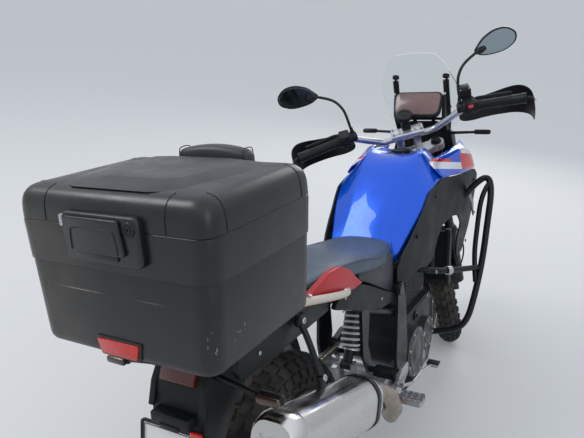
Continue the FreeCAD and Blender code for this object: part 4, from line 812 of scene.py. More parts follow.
def tread_blocks(name, radius, crown, rows, count, body):
    """Rows of tread blocks: each row a crown angle, a half step, a width, a length and a slant."""
    shoulder = radius - crown
    shapes = []
    for crown_angle, offset, width, length, slant in rows:
        shape = bmesh.new()
        bmesh.ops.create_cube(shape, size=1)
        bmesh.ops.scale(shape, vec=mm(width, length, 12), verts=shape.verts)
        top = [v for v in shape.verts if v.co.z > 0]
        bmesh.ops.scale(shape, vec=(0.86, 0.88, 1), verts=top)
        bmesh.ops.bevel(shape, geom=[e for e in shape.edges if all(v in top for v in e.verts)], offset=0.0012,
                        segments=1, profile=0.5, affect="EDGES", material=-1)
        places = []
        for step in range(count):
            around = turn(360 * (step + offset) / count, "Z")
            out = Matrix.Translation(mm(shoulder, 0, 0)) @ turn(-crown_angle, "Y")
            upright = turn(90, "Y") @ turn(slant, "Z")
            places.append(around @ out @ Matrix.Translation(mm(crown - 6.2, 0, 0)) @ upright)
        shapes.append(copies(shape, places))
    finished(name, joined(*shapes), "tyre", body, sharp=20)


# Tread rows: the angle round the crown, the step's share that a row starts at, width, length and slant
REAR_TREAD = [
    (11, 0.0, 25, 34, 12), (-11, 0.5, 25, 34, -12), (36, 0.25, 26, 30, -10), (-36, 0.75, 26, 30, 10),
    (62, 0.0, 24, 26, 0), (-62, 0.5, 24, 26, 0), (83, 0.5, 14, 20, 0), (-83, 0.0, 14, 20, 0),
]
FRONT_TREAD = [
    (11, 0.0, 18, 32, 14), (-11, 0.5, 18, 32, -14), (37, 0.25, 19, 26, -10), (-37, 0.75, 19, 26, 10),
    (64, 0.0, 18, 22, 0), (-64, 0.5, 18, 22, 0),
]
tyre_carcass("rear_tyre_carcass", "rear_tyre", 321, 75, 217, 58, "rear_wheel")
tyre_carcass("front_tyre_carcass", "front_tyre", 329, 55, 243, 38, "front_wheel")
tread_blocks("rear_tread", 321, 75, REAR_TREAD, 44, "rear_wheel")
tread_blocks("front_tread", 329, 55, FRONT_TREAD, 46, "front_wheel")


def both(shape):
    """A left shape with its right twin."""
    return copies(shape, [Matrix(), Matrix.Scale(-1, 4, (0, 1, 0))])


def side_plate(points, inner, outer, radius=8, edge=1.5):
    """A plate drawn in x and z, in millimetres, between two distances from the middle."""
    corners = [(x, inner, z) for x, z in points]
    return softened(plate(rounded(corners, radius), (0, outer - inner, 0)), edge)


def bar_pair(name, points, radius, finish, body="chassis", sides=3):
    """A left bar or cord and its right twin."""
    for side in (-1, 1):
        spots = [(x, side * y, z) for x, y, z in points]
        wire(f"{name}_{side_name(side)}", spots, radius, finish, body, sides)


def creased(shape, lengthwise, weight):
    """Holds a skin's lengthwise lines as soft creases under subdivision."""
    layer = shape.edges.layers.float.new("crease_edge")
    for edge in shape.edges:
        first, second = edge.verts
        if abs(first.co.x - second.co.x) > 0.01 and lengthwise(edge):
            edge[layer] = weight
    return shape


# Tank and body panels. Tank sections: x, and the left half's (y, z) from the top's edge round to the knee
TANK_TABLE = [
    (600, [(30, 746), (80, 744), (124, 738), (118, 716), (90, 708)]),
    (652, [(34, 800), (83, 793), (133, 784), (124, 738), (96, 712)]),
    (705, [(38, 878), (86, 868), (151, 829), (142, 776), (110, 730)]),
    (775, [(44, 952), (93, 942), (171, 896), (160, 830), (124, 756)]),
    (850, [(50, 1020), (98, 1012), (180, 946), (172, 872), (134, 776)]),
    (920, [(50, 1044), (99, 1050), (183, 957), (176, 886), (138, 792)]),
    (966, [(50, 1032), (96, 1058), (185, 955), (177, 888), (137, 802)]),
    (1064, [(48, 1032), (84, 1052), (186, 946), (172, 884), (130, 830)]),
    (1126, [(44, 1024), (76, 1008), (150, 930), (140, 884), (106, 860)]),
]
FILLER = (1010, 0, 1030)


def tank_skin():
    """The tank: knee hollows under long soft creases, and a filler well between its shoulders."""
    rings = []
    for x, points in TANK_TABLE:
        left = [mm(x, y, z) for y, z in points]
        rings.append(both_halves([mm(x, 16, points[0][1] + 1)] + left))
    shape = creased(skin(rings), lambda edge: abs(edge.verts[0].co.y) > 0.06, 0.8)
    tank = finished("tank_skin", shape, "blue_paint", soft=3)
    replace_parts(tank, "tank")
    x, y, z = FILLER
    neck = lathe([(36, -14), (36, 3), (40, 5.5), (46, 5.5), (49, 2), (49, -14)], 48, closed=True)
    ring = copies(neck, [Matrix.Translation(mm(*FILLER))])
    lugs = [block((x + 42, side * 14, z + 5), (12, 7, 16), 2) for side in (-1, 1)]
    finished("filler_ring", joined(ring, *lugs), "cap_black")
    spots = [((x + 42.5 * math.cos(a), 42.5 * math.sin(a), z + 5), (0, 0, 1))
             for a in (math.radians(30 + 60 * i) for i in range(6))]
    bolts("filler_bolts", "axle_steel", spots, 3, 2)


tank_skin()

# Wing sections: x, and the (y, z) of the top's inner and outer edge and the foot's outer and inner edge
WING_TABLE = [
    (912, [(146, 1008), (152, 1010), (190, 966), (186, 962)]),
    (940, [(128, 1014), (146, 1020), (197, 958), (190, 954)]),
    (1010, [(130, 1020), (158, 1026), (199, 955), (192, 951)]),
    (1100, [(150, 1028), (184, 1024), (205, 940), (196, 936)]),
    (1171, [(164, 1040), (200, 1034), (212, 934), (200, 931)]),
    (1240, [(160, 1046), (207, 1014), (217, 930), (203, 927)]),
    (1300, [(148, 1054), (206, 978), (218, 928), (205, 925)]),
    (1334, [(148, 1030), (195, 964), (207, 930), (196, 927)]),
]


def tank_wings():
    """The painted panels ahead of the tank, over the radiator's shoulders."""
    rings = [[mm(x, y, z) for y, z in corners] for x, corners in WING_TABLE]
    shape = creased(skin(rings), lambda edge: True, 0.75)
    wings = finished("wing_panels", both(shape), "blue_striped", soft=2)
    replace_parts(wings, "tank_wings")


tank_wings()

# The side panel's outline as (x, z), and its distance from the middle at x, for its lower and upper edge
SHROUD_OUTLINE = [
    (596, 742), (640, 784), (690, 826), (745, 870), (812, 932), (925, 955), (1110, 934), (1300, 924), (1336, 896),
    (1296, 800), (1250, 690), (1190, 600), (1130, 590), (1122, 660), (1150, 730), (1110, 772), (1040, 786),
    (930, 776), (884, 734), (860, 676), (800, 660), (720, 680), (650, 668), (606, 652), (580, 660), (580, 724),
]
SHROUD_TABLE = [
    (570, 138, 127), (650, 160, 150), (705, 168, 162), (775, 172, 176), (850, 172, 184), (925, 176, 188),
    (1040, 182, 195), (1200, 196, 210), (1340, 206, 218),
]


def shroud_outside(x, z):
    """The side panel's distance from the middle, between its lower and upper edge lines."""
    spans = list(zip(SHROUD_TABLE, SHROUD_TABLE[1:]))
    first, second = next((pair for pair in spans if x <= pair[1][0]), spans[-1])
    share = min(max((x - first[0]) / (second[0] - first[0]), 0), 1)
    low = first[1] + (second[1] - first[1]) * share
    high = first[2] + (second[2] - first[2]) * share
    swell = 5 * math.sin(math.pi * min(max((z - 640) / 300, 0), 1))
    return low + (high - low) * (z - 580) / 380 + swell


def side_shrouds():
    """The dark side panels from the seat to the radiator, bent round the tank's shoulders."""
    shape = bmesh.new()
    outline = rounded([(x, 0, z) for x, z in SHROUD_OUTLINE], 14, 3)
    shape.faces.new([shape.verts.new(point / 1000) for point in outline])
    cuts = [(mm(x, 0, 0), (1, 0, 0)) for x in range(620, 1320, 40)]
    cuts += [(mm(0, 0, z), (0, 0, 1)) for z in range(620, 940, 40)]
    for point, normal in cuts:
        geometry = shape.verts[:] + shape.edges[:] + shape.faces[:]
        bmesh.ops.bisect_plane(shape, geom=geometry, plane_co=point, plane_no=normal)
    for vert in shape.verts:
        vert.co.y = shroud_outside(vert.co.x * 1000, vert.co.z * 1000) / 1000
    bmesh.ops.recalc_face_normals(shape, faces=shape.faces)
    bmesh.ops.solidify(shape, geom=shape.faces[:], thickness=0.006)
    shrouds = finished("side_shrouds", both(shape), "black_plastic", sharp=40)
    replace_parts(shrouds, "shrouds")
    spots = [((700, 170, 800), (0, 1, 0.05)), ((860, 184, 905), (0, 1, 0.1)), ((1285, 216, 880), (0, 1, 0.1)),
             ((1200, 207, 640), (0, 1, 0))]
    bolts("shroud_bolts", "frame_black", twins(spots), 6, 3)


side_shrouds()

# Outlines as (x, z)
FLANK = [(574, 782), (574, 662), (552, 650), (490, 684), (400, 734), (300, 784), (300, 806), (430, 790)]
TRIM = [(-64, 858), (92, 884), (150, 880), (205, 854), (260, 806), (292, 782), (230, 784), (146, 806), (40, 834),
        (-64, 846)]
COVER = [
    (548, 622), (568, 644), (490, 676), (400, 724), (300, 774), (150, 794), (110, 770), (250, 712), (430, 640),
]
TAIL_SIDE = [
    (104, 800), (-20, 842), (-180, 846), (-300, 846), (-312, 806), (-300, 780), (-180, 772), (104, 772),
]


def body_panels():
    """The panels under the seat: slate flanks, red trim, dark covers and the tail's sides."""
    finished("seat_flanks", both(side_plate(FLANK, 112, 128, 12, 4)), "slate_plastic")
    trim = finished("red_trim", both(side_plate(TRIM, 126, 143, 10, 5)), "seat_red")
    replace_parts(trim, "seat_trim")
    covers = both(joined(side_plate(COVER, 125, 139, 20, 2), side_plate(TAIL_SIDE, 112, 128, 10, 2)))
    panels = finished("under_seat_covers", covers, "black_plastic")
    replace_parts(panels, "side_covers")
    bolts("cover_bolts", "axle_steel", twins([((440, 139, 672), (0, 1, 0)), ((180, 139, 778), (0, 1, 0)),
                                              ((-60, 128, 806), (0, 1, 0)), ((-230, 128, 812), (0, 1, 0))]), 5, 3)


body_panels()


def grab_handles():
    """The pale hand rails beside the pillion seat, with their screws."""
    run = [(222, 122, 786), (204, 134, 792), (164, 154, 800), (60, 157, 830), (-45, 156, 862), (-118, 118, 872),
           (-150, 96, 878)]
    bar_pair("grab_handle", run, 10.5, "handle_pale", sides=4)
    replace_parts(bpy.data.objects["grab_handle_right"], "grab_handles")
    spots = twins([((150, 156, 814), (0, 0.3, 1)), ((-40, 154, 873), (0, 0.3, 1))])
    bolts("handle_bolts", "axle_steel", spots, 5, 3)


grab_handles()


# Crash bars and their fittings
def crash_bars():
    """The engine guards: an outer hoop, an inner bar and a brace on each side."""
    hoop = [(1000, 118, 300), (1008, 200, 316), (1020, 262, 352), (1066, 284, 470), (1116, 298, 600),
            (1160, 303, 740), (1200, 308, 862), (1216, 288, 916), (1206, 240, 880), (1180, 180, 800),
            (1140, 140, 762), (1110, 110, 728)]
    inner = [(1080, 280, 510), (1110, 264, 600), (1150, 266, 720), (1184, 272, 846), (1204, 296, 886)]
    brace = [(1100, 286, 566), (980, 236, 592), (850, 176, 622), (834, 90, 632)]
    for name, points, radius in (("hoop", hoop, 12.5), ("inner", inner, 10), ("brace", brace, 11)):
        bar_pair("crash_" + name, points, radius, "frame_black", sides=5)
    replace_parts(bpy.data.objects["crash_hoop_left"], "crash_bars")
    strut = plate(rounded([(1190, 200, 872), (1204, 214, 872), (1226, 226, 800), (1216, 230, 742),
                           (1204, 224, 800)], 5), (0, 6, 0))
    finished("guard_brackets", both(softened(strut, 1.5)), "swing_silver")
    bolts("guard_bolts", "axle_steel", twins([((1010, 132, 304), (0, 1, 0)), ((1208, 222, 850), (0, 1, 0)),
                                              ((1214, 234, 760), (0, 1, 0)), ((850, 188, 622), (0, 1, 0))]), 7, 6)
    clamp = lathe([(13.5, -12), (17, -12), (17, 12), (13.5, 12)], 24, closed=True)
    finished("guard_clamps", both(stood(clamp, (930, 212, 603), (-0.86, -0.4, 0.2))), "bar_silver")


crash_bars()


# Exhaust. The silencer's corners: outward and upward from its axis
SILENCER_FRONT, SILENCER_REAR = Vector((140, -230, 528)), Vector((-368, -232, 694))
SILENCER_SECTION = [(-56, 46), (-34, 68), (26, 68), (58, 40), (58, -34), (30, -66), (-34, -66), (-56, -40)]


def silencer_body():
    """The silencer: a rounded steel shell between a dark front cone and an end cap with its outlet."""
    line = (SILENCER_REAR - SILENCER_FRONT).normalized()
    side = Vector((0, -1, 0))
    up = side.cross(line).normalized()
    length = (SILENCER_REAR - SILENCER_FRONT).length

    def ring(along, scale):
        middle = SILENCER_FRONT + line * along
        corners = [middle + (side * a + up * b) * scale for a, b in SILENCER_SECTION]
        return [point / 1000 for point in rounded(corners, 26 * scale, 5)]

    shell = [ring(0, 0.5), ring(40, 0.78), ring(84, 0.98), ring(96, 1), ring(length - 52, 1)]
    body = finished("silencer_shell", skin(shell), "silencer_steel", sharp=40)
    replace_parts(body, "silencer")
    cap = [ring(length - 56, 1.025), ring(length - 50, 1.04), ring(length - 30, 1.03), ring(length - 8, 0.93),
           ring(length, 0.84)]
    finished("silencer_cap", skin(cap), "silencer_steel", sharp=40)
    band = [ring(94, 1.01), ring(94, 1.03), ring(112, 1.03), ring(112, 1.01)]
    finished("silencer_band", skin(band, around=True), "frame_black", sharp=40)
    tail = aimed(SILENCER_REAR, line)
    pipe = lathe([(19, -40), (23, -40), (24, 4), (23, 7), (20.5, 7), (19.5, 3)], 32, closed=True)
    finished("silencer_outlet", copies(pipe, [tail]), "silencer_steel")
    rivets = [tail @ Matrix.Translation(mm(34 * math.cos(a), 34 * math.sin(a), -1))
              for a in (math.radians(45 + 90 * i) for i in range(4))]
    finished("silencer_rivets", copies(bolt_head(4, 3), rivets), "axle_steel")
    hanger = [(-74, -138, 826), (-76, -152, 806), (-84, -182, 740), (-88, -196, 700)]
    wire("silencer_hanger", hanger, 8, "frame_black")
    eye = lathe([(8, -7), (16, -7), (18, -4), (18, 4), (16, 7), (8, 7)], 28, closed=True)
    finished("hanger_eye", stood(eye, (-74, -142, 824), (0, 1, 0.1)), "frame_black")
    bolts("hanger_bolts", "axle_steel", [((-74, -150, 824), (0, -1, 0)), ((-88, -206, 694), (0, -1, 0.3))], 8, 5)
    finished("hanger_foot", block((-86, -196, 672), (30, 16, 52), 5), "frame_black")


silencer_body()


# Tail, plate and lamps. The tail's outline as (x, z), and the plate's top and low edge
TAIL = [(-150, 846), (-300, 846), (-352, 770), (-378, 640), (-356, 600), (-299, 626), (-251, 692), (-195, 727),
        (-150, 762)]
PLATE_TOP, PLATE_LOW, PLATE_HALF = Vector((-374, 0, 678)), Vector((-400, 0, 528)), 95


def tail_piece():
    """The tail that carries the plate, its lamp housing and the pad behind the plate."""
    carrier = side_plate(TAIL, -72, 72, 12, 6)
    house = block((-374, 0, 706), (40, 104, 28), 6, 3)
    pad = side_plate([(-340, 672), (-340, 600), (-384, 600), (-372, 672)], -40, 40, 4)
    tail = finished("tail_shell", joined(carrier, house, pad), "black_plastic")
    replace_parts(tail, "plate_carrier")
    ridge = side_plate([(-300, 845), (-354, 768), (-372, 716), (-366, 716), (-346, 770), (-296, 838)], 60, 75, 4)
    finished("tail_ridges", both(ridge), "black_plastic")


def plate_trim():
    """The blank plate's frame, its thin border line and its screws."""
    across, down = Vector((0, 1, 0)), (PLATE_LOW - PLATE_TOP).normalized()
    out = across.cross(down).normalized()
    height = (PLATE_LOW - PLATE_TOP).length

    def ring(inset, lift, radius):
        half, top, low = PLATE_HALF - inset, inset, height - inset
        corners = [PLATE_TOP + across * a + down * b + out * lift
                   for a, b in ((half, top), (-half, top), (-half, low), (half, low))]
        return [point / 1000 for point in rounded(corners, radius, 4)]

    rim = [ring(-3, 4, 12), ring(-3, -1, 12), ring(3, -1, 8), ring(3, 4, 8)]
    finished("plate_frame", skin(rim, around=True), "black_plastic")
    line = [ring(6.5, 2.2, 7), ring(6.5, 3.0, 7), ring(8, 3.0, 6), ring(8, 2.2, 6)]
    finished("plate_line", skin(line, around=True), "black_plastic")
    spots = [(PLATE_TOP + across * a + down * 75 + out * 2.4, out) for a in (-70, 70)]
    bolts("plate_screws", "axle_steel", spots, 5, 2.5)


def rear_lights():
    """The rear lamps: winker stalks and lenses, the tail lamp, the plate light and the reflectors."""
    stalk = lathe([(0, 0), (8, 0), (7, 20), (6, 104), (0, 104)], 20)
    stalks = both(stood(stalk, (-316, 70, 790), (0, 1, -0.16)))
    stems = finished("winker_stalks", stalks, "frame_black")
    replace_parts(stems, "rear_lamps")
    finished("winker_housings", both(block((-312, 206, 770), (20, 62, 22), 8, 3)), "frame_black")
    finished("winker_lenses", both(block((-326, 206, 770), (14, 56, 18), 6, 3)), "lamp_amber")
    lamp = side_plate([(-300, 843), (-330, 846), (-360, 776), (-342, 776)], -46, 46, 6, 3)
    finished("tail_lamp_lens", lamp, "lamp_smoked_red")
    red = plate(rounded(facing(-CASE_REAR - 2, 52, 937, 44, 908), 4, 3), (-5, 0, 0))
    finished("case_reflector", softened(red, 1.5, 2), "lamp_red")
    finished("plate_light", block((-392, 0, 694), (10, 52, 12), 3), "frame_black")
    finished("small_reflector", block((-388, -66, 688), (8, 30, 16), 3), "lamp_red")


tail_piece()
plate_trim()
rear_lights()


# Bars and cockpit, about the steering axis: x ahead of it, y left, z along it. Distances on the bar are from
# its knee, and the mirror's outline is (y, z) about its middle
BAR_KNEE, BAR_TIP = Vector((2, 232, 1276)), Vector((-74, 427, 1296))
BAR_LINE = (BAR_TIP - BAR_KNEE).normalized()
GRIP_START, GRIP_END, BAR_END = 42, 170, 224
MIRROR_HEAD = Vector((100, 386, 1462))
MIRROR_OUTLINE = [(-84, -24), (-46, 26), (2, 50), (50, 48), (84, 16), (82, -20), (44, -46), (-6, -50), (-50, -44)]


def on_bar(distance, *offset):
    """A point on the left bar end, at a distance from its knee."""
    return BAR_KNEE + BAR_LINE * distance + Vector(offset or (0, 0, 0))


def steered(name, shape, finish, sharp=35):
    """A piece that turns with the bars."""
    return finished(name, shape, finish, "steering", sharp=sharp)


def hand_grips():
    """Ribbed rubber grips with a collar at each end, and the weights that close the bar."""
    profile = [(13.5, 0), (20, 0), (20, 5), (17.5, 7)]
    for rib in range(14):
        low = 10 + rib * 8
        profile += [(17.2, low), (18.2, low + 1.2), (18.2, low + 5), (17.2, low + 6.2)]
    profile += [(17.5, 122), (18.5, 124), (18.5, 128), (13.5, 128)]
    grip = stood(lathe(profile, 32, closed=True), on_bar(GRIP_START), BAR_LINE)
    steered("hand_grips", both(grip), "control_black")
    weight = lathe([(0, 0), (17, 0), (19, 3), (19, 40), (20.5, 44), (20.5, 50), (17, 54), (6, 54), (5, 50),
                    (0, 50)], 32)
    steered("bar_weights", both(stood(weight, on_bar(GRIP_END), BAR_LINE)), "frame_black")


def switches():
    """Button rows on the left, stop and start buttons on the right, and the housings' joint lines."""
    housing = lathe([(24.6, -6), (25.6, -4), (25.6, 10), (25.2, 11), (25.6, 12), (25.6, 38), (24.6, 40), (14, 40),
                     (14, -6)], 40, closed=True)
    steered("switch_barrels", both(stood(housing, on_bar(0), BAR_LINE)), "control_black")
    left = [block(on_bar(place, -27, 0, lift), (7, 12, 8), 2) for place in (6, 20, 34) for lift in (18, 4)]
    left.append(block(on_bar(20, -28, 0, -10), (10, 22, 8), 3))
    steered("left_buttons", joined(*left), "frame_black")
    rocker = block(on_bar(14, -28, 0, 16), (9, 20, 14), 4, 3)
    start = stood(lathe([(0, 4), (5, 4), (7, 2.5), (7, -4)], 20), on_bar(16, -26, 0, -6), (-1, 0, 0))
    mirror = Matrix.Scale(-1, 4, (0, 1, 0))
    steered("stop_switch", copies(rocker, [mirror]), "lamp_red")
    steered("start_button", copies(start, [mirror]), "frame_black")
    pinch = [(tuple(on_bar(place, 18, 0, -16)), (0.5, 0, -0.85)) for place in (8, 30)]
    bolts("switch_screws", "axle_steel", twins(pinch), 3.5, 3, "steering")
    cap = joined(block(on_bar(-2, 44, 12, 60), (50, 44, 5), 2), block(on_bar(-2, 44, 12, 64), (34, 28, 3), 1.5))
    steered("reservoir_cap", copies(cap, [mirror]), "cap_black")
    middle = on_bar(-2, 44, 12, 62)
    corners = ((-20, 17), (20, -17), (-20, -17), (20, 17))
    spots = [((middle.x + x, y - middle.y, middle.z), (0, 0, 1)) for x, y in corners]
    bolts("reservoir_screws", "axle_steel", spots, 3, 2.5, "steering")


def mirror_set():
    """The mirrors: shells with rounded backs, glasses, stems and clamps."""
    outline = [MIRROR_HEAD + Vector((0, y, z)) for y, z in MIRROR_OUTLINE]
    shell = plate(rounded(outline, 22, 5), (15, 0, 0))
    back = [edge for edge in shell.edges if all(v.co.x > (MIRROR_HEAD.x + 14) / 1000 for v in edge.verts)]
    bmesh.ops.bevel(shell, geom=back, offset=0.010, segments=4, profile=0.5, affect="EDGES", material=-1)
    shells = steered("mirror_shells", both(shell), "mirror_black", sharp=40)
    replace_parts(shells, "mirrors")
    inside = [MIRROR_HEAD + Vector((-0.6, y * 0.92, z * 0.9)) for y, z in MIRROR_OUTLINE]
    glass = plate(rounded(inside, 20, 5), (-1.4, 0, 0))
    steered("mirror_glasses", both(softened(glass, 0.5, 1)), "mirror_glass", sharp=20)
    stem = [on_bar(-19, 3, 0, 12), on_bar(-16, 14, 0, 46), on_bar(-14, 34, 2, 86), (54, 228, 1386),
            (70, 252, 1420), (92, 306, 1440), (112, 362, 1456)]
    bar_pair("mirror_stem", stem, 5.5, "frame_black", "steering", 4)
    neck = lathe([(0, -6), (9, -6), (12, 0), (13, 16), (10, 30), (0, 30)], 28)
    steered("mirror_necks", both(stood(neck, (96, 322, 1441), (0.2, 0.94, 0.3))), "mirror_black")
    collar = lathe([(13.5, -30), (19.5, -30), (20.5, -28), (20.5, -11), (19.5, -9), (13.5, -9)], 32, closed=True)
    socket = lathe([(0, 0), (9, 0), (9, 12), (7, 14), (6, 26), (0, 26)], 20)
    clamp = joined(stood(collar, BAR_KNEE, BAR_LINE), stood(socket, on_bar(-19, 3, 0, 14), (0.15, 0, 1)))
    steered("mirror_clamps", both(clamp), "frame_black")


# Hand guard sections: x, y, low and high edge, and the wall's thickness
GUARD_WALL = 4
GUARD_TABLE = [
    (64, 212, 1180, 1216), (72, 250, 1162, 1240), (86, 300, 1154, 1258), (78, 362, 1156, 1266),
    (58, 420, 1164, 1284), (18, 452, 1176, 1304), (-32, 468, 1190, 1308), (-72, 466, 1194, 1306),
    (-104, 458, 1198, 1302),
]


def hand_guards():
    """Wrap-round wind guards with a rolled edge, their arms and end bolts."""
    rings = []
    for i, (x, y, low, high) in enumerate(GUARD_TABLE):
        before = GUARD_TABLE[max(i - 1, 0)]
        after = GUARD_TABLE[min(i + 1, len(GUARD_TABLE) - 1)]
        ahead = Vector((after[0] - before[0], after[1] - before[1], 0)).normalized()
        inward = ahead.cross(Vector((0, 0, 1))) * -GUARD_WALL
        outer = Vector((x, y, 0))
        inner = outer + inward
        bow = inward * -1.2
        middle = (low + high) / 2
        corners = ((outer, low), (outer + bow, middle), (outer, high),
                   (inner, high), (inner + bow, middle), (inner, low))
        rings.append([Vector((corner.x, corner.y, height)) / 1000 for corner, height in corners])
    shape = creased(skin(rings), lambda edge: True, 0.3)
    guards = finished("wind_guards", both(shape), "black_plastic", "steering", soft=2)
    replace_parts(guards, "hand_guards")
    arm = [on_bar(-26), on_bar(-24, 30, 0, -8), (62, 216, 1262), (70, 232, 1214)]
    bar_pair("guard_arm", arm, 6, "frame_black", "steering")
    end = [on_bar(BAR_END), on_bar(BAR_END + 16), (-92, 460, 1290)]
    bar_pair("guard_end", end, 7, "frame_black", "steering")
    spots = twins([((-92, 464, 1290), (-0.2, 1, 0)), ((84, 250, 1212), (1, 0.3, 0))])
    bolts("guard_screws", "axle_steel", spots, 6, 4, "steering")


def bar_fittings():
    """The silver bar clamp, the round device mount, fork caps, the stem nut and the brake hose."""
    clamp = block((42, 0, 1207), (58, 132, 24), 8, 3)
    ribs = [block((42, y, 1220), (42, 24, 4), 1.5) for y in (-40, 40)]
    steered("bar_clamp", joined(clamp, *ribs), "yoke_silver")
    spots = [((42 + x, y, 1219), (0, 0, 1)) for x in (-19, 19) for y in (-56, 56)]
    bolts("clamp_bolts", "axle_steel", spots, 6, 6, "steering")
    foot, top = Vector((58, 0, 1222)), Vector((50, 0, 1290))
    line = (top - foot).normalized()
    profile = [(0, 22), (10, 22), (11, 20), (20, 20), (21, 22), (29, 22), (33, 18), (33, 4), (29, 0), (0, 0)]
    disc = stood(lathe(profile, 48), top - line * 22, line)
    middle = aimed(top - line * 11, line)
    knurls = [middle @ turn(360 * i / 28, "Z") @ Matrix.Translation(mm(33, 0, 0)) for i in range(28)]
    steered("mount_disc", joined(disc, copies(block((0, 0, 0), (3, 4, 12), 1, 1), knurls)), "frame_black")
    post = lathe([(0, 0), (15, 0), (13, 6), (12, 46), (0, 46)], 28)
    stand = joined(block((54, 0, 1232), (32, 36, 30), 6, 3), stood(post, foot, line))
    arm = steered("mount_arm", stand, "control_black")
    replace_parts(arm, "phone_mount")
    cap = lathe([(0, 8), (5, 8), (6, 6), (9, 6), (10, 9), (15, 9), (17, 6), (17.5, 0)], 32)
    tops = [Matrix.Translation(mm(32, side * 105, 1141)) for side in (-1, 1)]
    steered("fork_caps", copies(cap, tops), "cap_black")
    nut = lathe([(0, 3), (8, 3), (8, 12), (16, 12), (19, 9), (19, 0)], 6)
    steered("stem_nut", copies(nut, [Matrix.Translation(mm(0, 0, 1142))]), "axle_steel")
    pinch = [((10, side * 118, z), (-1, 0, 0)) for side in (-1, 1) for z in (1121, 888)]
    bolts("yoke_bolts", "axle_steel", pinch, 5, 5, "steering")
    hose = [(48, -232, 1262), (60, -176, 1206), (68, -120, 1150), (66, -84, 1090), (63, -80, 980), (63, -80, 850),
            (70, -104, 700), (44, -150, 600), (-12, -150, 530), (-50, -112, 470), (-62, -92, 452)]
    wire("front_brake_hose", hose, 3.5, "hose_rubber", "steering")


hand_grips()
switches()
mirror_set()
hand_guards()
bar_fittings()


def display_unit():
    """The instrument display: a rounded black frame round its glass, and the towers beside it."""
    place = BIKE @ Matrix.Translation(mm(1222, 0, 1197)) @ turn(27, "Y")
    frame_shape = softened(plate(rounded(facing(12, 102, 50, 96, -56), 30, 6), (-22, 0, 0)), 5, 3)
    unit = finished("display_frame", frame_shape, "black_plastic", place=place)
    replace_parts(unit, "display")
    glass = softened(plate(rounded(facing(-9.5, 95, 44, 89, -48), 26, 6), (-2, 0, 0)), 1, 2)
    finished("display_pane", glass, "display_glass", place=place)
    tower = [(1330, 92, 1050), (1308, 102, 1100), (1286, 106, 1160), (1266, 106, 1235), (1254, 106, 1290)]
    bar_pair("screen_tower", tower, 12.5, "black_plastic", sides=4)
    web = side_plate([(1316, 1078), (1276, 1232), (1236, 1232), (1226, 1150), (1270, 1080)], 96, 108, 14, 2)
    finished("screen_webs", both(web), "black_plastic")
    knob = lathe([(0, 18), (10, 18), (14, 14), (14, 3), (8, 0), (0, 0)], 24)
    finished("screen_knobs", both(stood(knob, (1254, 106, 1296), (0.2, 0, 1))), "control_black")
    spots = twins([((1240, 106, 1236), (-1, 0, 0.3)), ((1294, 104, 1130), (-1, 0, 0.3))])
    bolts("tower_bolts", "axle_steel", spots, 5, 4)


def front_winkers():
    """The front turn lamps on their short stalks."""
    stalk = lathe([(0, 0), (8, 0), (6.5, 14), (5.5, 106), (0, 106)], 20)
    stalks = both(stood(stalk, (1300, 108, 1070), (0, 1, 0.04)))
    stems = finished("front_winker_stalks", stalks, "frame_black")
    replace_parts(stems, "front_indicators")
    finished("front_winker_housings", both(block((1296, 244, 1076), (22, 66, 20), 8, 3)), "frame_black")
    finished("front_winker_lenses", both(block((1309, 244, 1076), (12, 60, 16), 5, 3)), "lamp_amber")


display_unit()
front_winkers()


# Wheels' small parts, drawn about the axle as z. Brake discs: their thickness, and the height of the front
# ones' inner face and the rear one's outer face from the middle
DISC_THICK, FRONT_DISC_AT, REAR_DISC_AT = 4.5, 60, 88.5
# A disc ring's holes: the band from the inside and the step of six round the ring
HOLE_BANDS, HOLE_STEPS, HOLE_REPEAT = 8, 144, 6
HOLES = ((1, 0), (3, 2), (5, 4), (6, 1))


def drilled_ring(outer, inner, height):
    """A brake disc's ring with rows of small holes, from the height up."""
    bands, steps = HOLE_BANDS, HOLE_STEPS
    shape = bmesh.new()
    radii = [inner + (outer - inner) * i / bands for i in range(bands + 1)]
    run = [shape.verts.new(mm(radius, 0, height)) for radius in radii]
    edges = [shape.edges.new(pair) for pair in zip(run, run[1:])]
    bmesh.ops.spin(shape, geom=run + edges, cent=(0, 0, 0), axis=(0, 0, 1), angle=math.tau, steps=steps,
                   use_merge=True)
    bmesh.ops.remove_doubles(shape, verts=shape.verts, dist=1e-6)
    holes = []
    for face in shape.faces:
        middle = face.calc_center_median()
        band = int((middle.xy.length * 1000 - inner) / (outer - inner) * bands)
        step = int(math.atan2(middle.y, middle.x) / math.tau * steps + steps)
        if (band, step % HOLE_REPEAT) in HOLES:
            holes.append(face)
    bmesh.ops.delete(shape, geom=holes, context="FACES")
    bmesh.ops.recalc_face_normals(shape, faces=shape.faces)
    bmesh.ops.solidify(shape, geom=shape.faces[:], thickness=DISC_THICK / 1000)
    low = min(vert.co.z for vert in shape.verts)
    bmesh.ops.translate(shape, vec=(0, 0, height / 1000 - low), verts=shape.verts)
    return shape


def disc_carrier(reach, arms, height):
    """A brake disc's bolted centre with its arms."""
    top = height + DISC_THICK
    ring = lathe([(30, height), (52, height), (52, top), (30, top)], 48, closed=True)
    arm = block(((48 + reach) / 2, 0, height + DISC_THICK / 2), (reach - 42, 13, DISC_THICK - 0.4), 1)
    return joined(ring, copies(arm, [turn(360 * i / arms, "Z") for i in range(arms)]))


def axle_spots(count, radius, height, start=0.0):
    """Spots evenly placed round the axle, facing up."""
    angles = [math.radians(start + 360 * i / count) for i in range(count)]
    return [((radius * math.cos(a), radius * math.sin(a), height), (0, 0, 1)) for a in angles]


